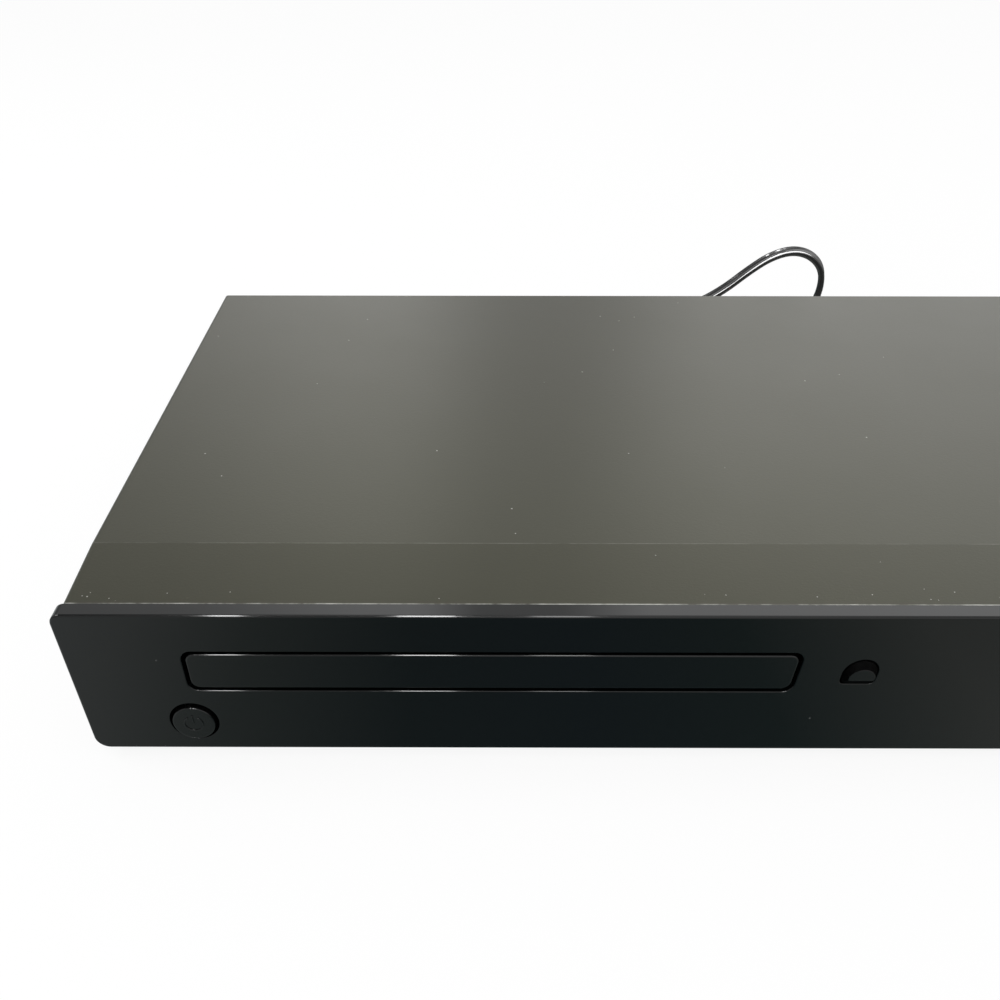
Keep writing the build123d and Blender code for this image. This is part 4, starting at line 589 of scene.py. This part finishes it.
def insulator_mask(tree, at):
    from_first = math(tree, "SUBTRACT", at[0], jack_first)
    across = math(tree, "WRAP", from_first, jack_pitch / 2, -jack_pitch / 2)
    return ring_mask(tree, distance(tree, across, at[2], (0.0, jack_z)), insulator_from, insulator_until)


dress(masked("socket_shell", insulator_mask, inside=Finish((0.78, 0.77, 0.72), 0.35, 0.0),
             outside=Finish((0.66, 0.65, 0.62), 0.16, 1.0)), "jack_shells")
cast_metal = moulded("die_cast", (0.50, 0.51, 0.52), (0.60, 0.61, 0.62), (0.35, 0.5), 1200.0, 0.2,
                     metal=1.0)
dress(cast_metal, "pickup_sled", "heat_sink")

# Moulded inner pieces: the black loader, tray and clamper, and the natural white gears and slider.
# They snap or slide into one another; the belt, the pads under the feet and the dampers are soft rubber.
# The turntable has a rubber ring that grips the disc, and the ribbons are conductors in white film.
tray_black = moulded("tray_black", (0.012, 0.012, 0.013), (0.018, 0.018, 0.019), (0.30, 0.42), 1600.0, 0.2)
dress(tray_black, "disc_tray", "loader_frame", "disc_clamper", "jack_block", "feet", "tact_switches",
      "display_module")
spindle_at = (-0.0795, -0.038075)
grip_from, grip_until = 0.0085, 0.0136


def rubber_mask(tree, at):
    return ring_mask(tree, distance(tree, at[0], at[1], spindle_at), grip_from, grip_until)


dress(masked("turntable_face", rubber_mask, inside=Finish(grey(0.012), 0.75, 0.0),
             outside=Finish((0.05, 0.05, 0.052), 0.3, 0.0)), "turntable")
acetal = moulded("natural_acetal", (0.62, 0.61, 0.56), (0.70, 0.69, 0.64), (0.35, 0.45), 900.0, 0.05)
dress(acetal, "cam_slider", "drive_gear", "pulley_gear", "motor_pulley", "board_connectors")
ribbon_split_x = 0.042
conductor_pitch, conductor_level = 0.00125, 0.2


def stripe_mask(tree, at):
    """Conductors in the ribbons: one ribbon runs back and the other runs across."""
    across = mix(tree, below(tree, at[0], ribbon_split_x), at[1], at[0])
    wave = math(tree, "SINE", times(tree, across, 2 * pi / conductor_pitch))
    return above(tree, wave, conductor_level)


dress(masked("ribbon", stripe_mask, inside=Finish((0.45, 0.46, 0.50), 0.3, 0.6),
             outside=Finish((0.72, 0.73, 0.74), 0.35, 0.0)), "ribbon_cables")
soft_black = moulded("soft_rubber", grey(0.014), grey(0.022), (0.6, 0.8), 1200.0, 0.3)
dress(soft_black, "drive_belt", "foot_pads", "traverse_dampers")
dress(moulded("clear_lens", (0.05, 0.06, 0.12), (0.08, 0.10, 0.2), (0.05, 0.1)), "pickup_lens")

# Boards: a green one for the picture and sound, and brown paper laminate for the supply and the front.
# Copper tracks show through the lacquer, and flat packages stand on soldered legs.
# Screws hold the two large boards on posts of the pan.
track_width = 0.00022
pad_radius, pad_share = 0.13, 0.55
tracks, given = shared_effect("copper_tracks", {"Pitch": 0.004}, ("Tracks", "Pads"))
place = own_place(tracks)
crossing = []
for quarter, brick_length in ((0, 0.031), (pi / 2, 0.023)):
    turned = add(tracks, "ShaderNodeMapping", {"Vector": place, "Rotation": (0, 0, quarter)})
    bricks = add(tracks, "ShaderNodeTexBrick", {
        "Vector": turned.outputs[0], "Scale": 1.0, "Mortar Size": track_width, "Mortar Smooth": 0.1,
        "Brick Width": brick_length, "Row Height": given["Pitch"]}, offset=0.37)
    crossing.append(bricks.outputs["Fac"])
dots = add(tracks, "ShaderNodeTexVoronoi", {"Vector": place, "Scale": 260.0, "Randomness": 0.35})
pick = add(tracks, "ShaderNodeSeparateColor", {0: dots.outputs["Color"]})
round_pads = below(tracks, dots.outputs["Distance"], pad_radius)
add(tracks, "NodeGroupOutput", {
    "Tracks": math(tracks, "MAXIMUM", *crossing),
    "Pads": times(tracks, round_pads, above(tracks, pick.outputs[1], pad_share))})


def laminate(name, ground, track, pitch):
    """Board with lacquered tracks and bare soldered pads."""
    material, tree, out = new_material(name)
    spread = effect(tree, grain, Scale=500.0, Depth=0.08)["Spread"]
    copper = effect(tree, tracks, Pitch=pitch)
    plain_board = tint(tree, spread, tuple(0.75 * c for c in ground), ground)
    tracked = tint(tree, copper["Tracks"], plain_board, track)
    coat(tree, out, {
        "Base Color": tint(tree, copper["Pads"], tracked, (0.55, 0.56, 0.57)),
        "Roughness": between(tree, spread, 0.22, 0.42),
        "Metallic": copper["Pads"],
        "Normal": bumped(tree, math(tree, "ADD", copper["Tracks"], copper["Pads"]), 0.00006)})
    return material


dress(laminate("green_lacquer", (0.012, 0.11, 0.04), (0.03, 0.19, 0.07), 0.0034), "main_board")
dress(laminate("paper_laminate", (0.30, 0.19, 0.08), (0.36, 0.22, 0.08), 0.0052), "power_board",
      "front_board")
package = moulded("dark_package", grey(0.012), grey(0.02), (0.4, 0.5), 1400.0, 0.2)
dress(package, "board_chips")
tin = moulded("tinned_leg", (0.50, 0.51, 0.52), (0.62, 0.63, 0.63), (0.22, 0.35), 900.0, 0.05, **rolled)

paired_rows = bpy.data.node_groups.new("paired_rows", "GeometryNodeTree")
row_inputs = {"Piece": "Geometry", "Count": "Int", "Pitch": "Float", "Reach": "Float", "Finish": "Material"}
for label, kind in row_inputs.items():
    paired_rows.interface.new_socket(label, in_out="INPUT", socket_type="NodeSocket" + kind)
paired_rows.interface.new_socket("Rows", in_out="OUTPUT", socket_type="NodeSocketGeometry")
socket_ids = {item.name: item.identifier for item in paired_rows.interface.items_tree
              if item.in_out == "INPUT"}
given = add(paired_rows, "NodeGroupInput").outputs
gaps = math(paired_rows, "SUBTRACT", given["Count"], 1.0)
first = times(paired_rows, gaps, times(paired_rows, given["Pitch"], -0.5))
start = add(paired_rows, "ShaderNodeCombineXYZ", {0: first, 1: times(paired_rows, given["Reach"], -1.0)})
step = add(paired_rows, "ShaderNodeCombineXYZ", {0: given["Pitch"]})
row = add(paired_rows, "GeometryNodeMeshLine", {
    "Count": given["Count"], "Start Location": start.outputs[0], "Offset": step.outputs[0]})
legs = add(paired_rows, "GeometryNodeInstanceOnPoints", {
    "Points": row.outputs[0], "Instance": given["Piece"]})
other = add(paired_rows, "GeometryNodeTransform", {
    "Geometry": legs.outputs[0], "Rotation": (0.0, 0.0, pi)})
both_rows = add(paired_rows, "GeometryNodeJoinGeometry")
paired_rows.links.new(legs.outputs[0], both_rows.inputs[0])
paired_rows.links.new(other.outputs[0], both_rows.inputs[0])
real_rows = add(paired_rows, "GeometryNodeRealizeInstances", {"Geometry": both_rows.outputs[0]})
finished = add(paired_rows, "GeometryNodeSetMaterial", {
    "Geometry": real_rows.outputs[0], "Material": given["Finish"]})
add(paired_rows, "NodeGroupOutput", {0: finished.outputs[0]})

board_top = 0.0124
solder = 0.00002
leg_thick = 0.00012


def prism(name, outline, half_width):
    """A flat outline in Y and Z drawn out to both sides along X, faces outwards."""
    mesh = bmesh.new()
    sides = [[mesh.verts.new((x, y, z)) for y, z in outline] for x in (-half_width, half_width)]
    mesh.faces.new(sides[0])
    mesh.faces.new(sides[1][::-1])
    for k in range(len(outline)):
        j = (k + 1) % len(outline)
        mesh.faces.new((sides[0][k], sides[1][k], sides[1][j], sides[0][j]))
    bmesh.ops.recalc_face_normals(mesh, faces=mesh.faces)
    data = bpy.data.meshes.new(name)
    mesh.to_mesh(data)
    mesh.free()
    return data


def leg_outline(rise):
    """Gull-wing leg of a package: out of the body, down, and flat on its pad."""
    root, toe = 0.0001, -0.0011
    over = [(root, rise), (-0.0004, rise), (-0.0006, solder + leg_thick), (toe, solder + leg_thick)]
    under = [(toe, solder), (-0.0005, solder), (-0.0003, rise - leg_thick), (root, rise - leg_thick)]
    return over + under


def rows_on_board(name, jobs, finish):
    """One mesh from several paired rows; a job is piece, count, pitch, reach, place and quarter turns."""
    joined = bmesh.new()
    for piece, count, pitch, reach, place, quarters in jobs:
        obj = bpy.data.objects.new(name, piece)
        scene.collection.objects.link(obj)
        rows = obj.modifiers.new("rows", "NODES")
        rows.node_group = paired_rows
        for label, value in (("Count", count), ("Pitch", pitch), ("Reach", reach), ("Finish", finish)):
            rows[socket_ids[label]] = value
        bpy.context.view_layer.update()
        evaluated = obj.evaluated_get(bpy.context.evaluated_depsgraph_get())
        mesh = bpy.data.meshes.new_from_object(evaluated)
        obj.modifiers.remove(rows)
        bpy.data.objects.remove(obj)
        quarter_turns = Matrix.Rotation(quarters * pi / 2, 4, "Z")
        mesh.transform(Matrix.Translation((*place, board_top)) @ quarter_turns)
        joined.from_mesh(mesh)
    data = bpy.data.meshes.new(name)
    joined.to_mesh(data)
    joined.free()
    data.materials.append(finish)
    obj = bpy.data.objects.new(name, data)
    scene.collection.objects.link(obj)
    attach(obj, "case")


decoder_at = (0.0255, 0.00602)
fine_leg = prism("fine_leg", leg_outline(0.0008), 0.00013)
wide_leg = prism("wide_leg", leg_outline(0.0009), 0.00024)
rows_on_board("chip_legs", [
    (fine_leg, 34, 0.00065, 0.0120, decoder_at, 0),
    (fine_leg, 32, 0.00065, 0.0132, decoder_at, 1),
    (fine_leg, 25, 0.0008, 0.0067, (0.03352, 0.03396), 1),
    (wide_leg, 4, 0.00127, 0.0030, (0.01152, 0.03209), 0),
    (wide_leg, 9, 0.00127, 0.0072, (0.01748, -0.02594), 1)], tin)
chip_half, chip_top = 0.0008, 0.00045
chip_resistor = prism("chip_resistor", [
    (-chip_half, solder), (chip_half, solder), (chip_half, chip_top), (-chip_half, chip_top)], 0.0004)
rows_on_board("small_parts", [
    (chip_resistor, 7, 0.0021, 0.0019, (0.0485, 0.0260), 0),
    (chip_resistor, 5, 0.0024, 0.0022, (0.0430, -0.0245), 1),
    (chip_resistor, 6, 0.0021, 0.0019, (0.0135, 0.0630), 0)], package)
can_top_z = 0.019


def top_mask(tree, at):
    """What looks up, higher than the capacitors' sleeves."""
    normal = add(tree, "ShaderNodeNewGeometry").outputs["Normal"]
    return times(tree, above(tree, split(tree, normal)[2], 0.9), above(tree, at[2], can_top_z))


dress(masked("capacitor", top_mask, inside=Finish((0.62, 0.63, 0.64), 0.3, 1.0),
             outside=Finish((0.016, 0.018, 0.04), 0.28, 0.0)), "board_capacitors", "bulk_capacitor")
tape_x, tape_z = 0.12405, 0.0234
tape_half_x, tape_half_z = 0.00735, 0.0056
dark_core = Finish(grey(0.03), 0.5, 0.0)


def tape_mask(tree, at):
    in_height = below(tree, off(tree, at[2], tape_z), tape_half_z)
    return times(tree, in_height, below(tree, off(tree, at[0], tape_x), tape_half_x))


dress(masked("winding_tape", tape_mask, inside=Finish((0.62, 0.48, 0.06), 0.35, 0.0),
             outside=dark_core), "transformer")
choke_x, choke_z = 0.08198, 0.0214
wire_turns, wire_level = 52.0, -0.55
wound_share, wound_radius = 0.82, 0.0081


def winding_mask(tree, at):
    """Turns of enamelled wire on the ring core, on both sides, away from its base."""
    reach = distance(tree, at[0], at[2], (choke_x, choke_z))
    rise, aside = math(tree, "SUBTRACT", at[2], choke_z), math(tree, "SUBTRACT", at[0], choke_x)
    angle = math(tree, "ARCTAN2", rise, aside)
    wires = above(tree, math(tree, "SINE", times(tree, angle, wire_turns)), wire_level)
    at_sides = below(tree, math(tree, "ABSOLUTE", math(tree, "SINE", angle)), wound_share)
    return times(tree, times(tree, wires, at_sides), below(tree, reach, wound_radius))


dress(masked("choke_winding", winding_mask, inside=Finish((0.55, 0.20, 0.07), 0.25, 1.0),
             outside=dark_core), "line_filter")
fuse_y, glass_half = 0.04402, 0.0048


def cap_mask(tree, at):
    return above(tree, off(tree, at[1], fuse_y), glass_half)


dress(masked("fuse_and_caps", cap_mask, inside=Finish((0.62, 0.61, 0.58), 0.2, 1.0),
             outside=Finish((0.55, 0.58, 0.56), 0.06, 0.0)), "fuse")

# Rings round the sockets: moulded plastic, pushed over each shell against the back.
# Their colours tell the four outputs apart: orange, yellow, white and red.
for node, shade in (
        ("digital_ring", (0.80, 0.22, 0.02)), ("video_ring", (0.80, 0.60, 0.03)),
        ("left_audio_ring", (0.75, 0.75, 0.72)), ("right_audio_ring", (0.60, 0.02, 0.02))):
    deep = tuple(0.85 * c for c in shade)
    dress(moulded(node + "_plastic", deep, shade, (0.3, 0.4)), node)
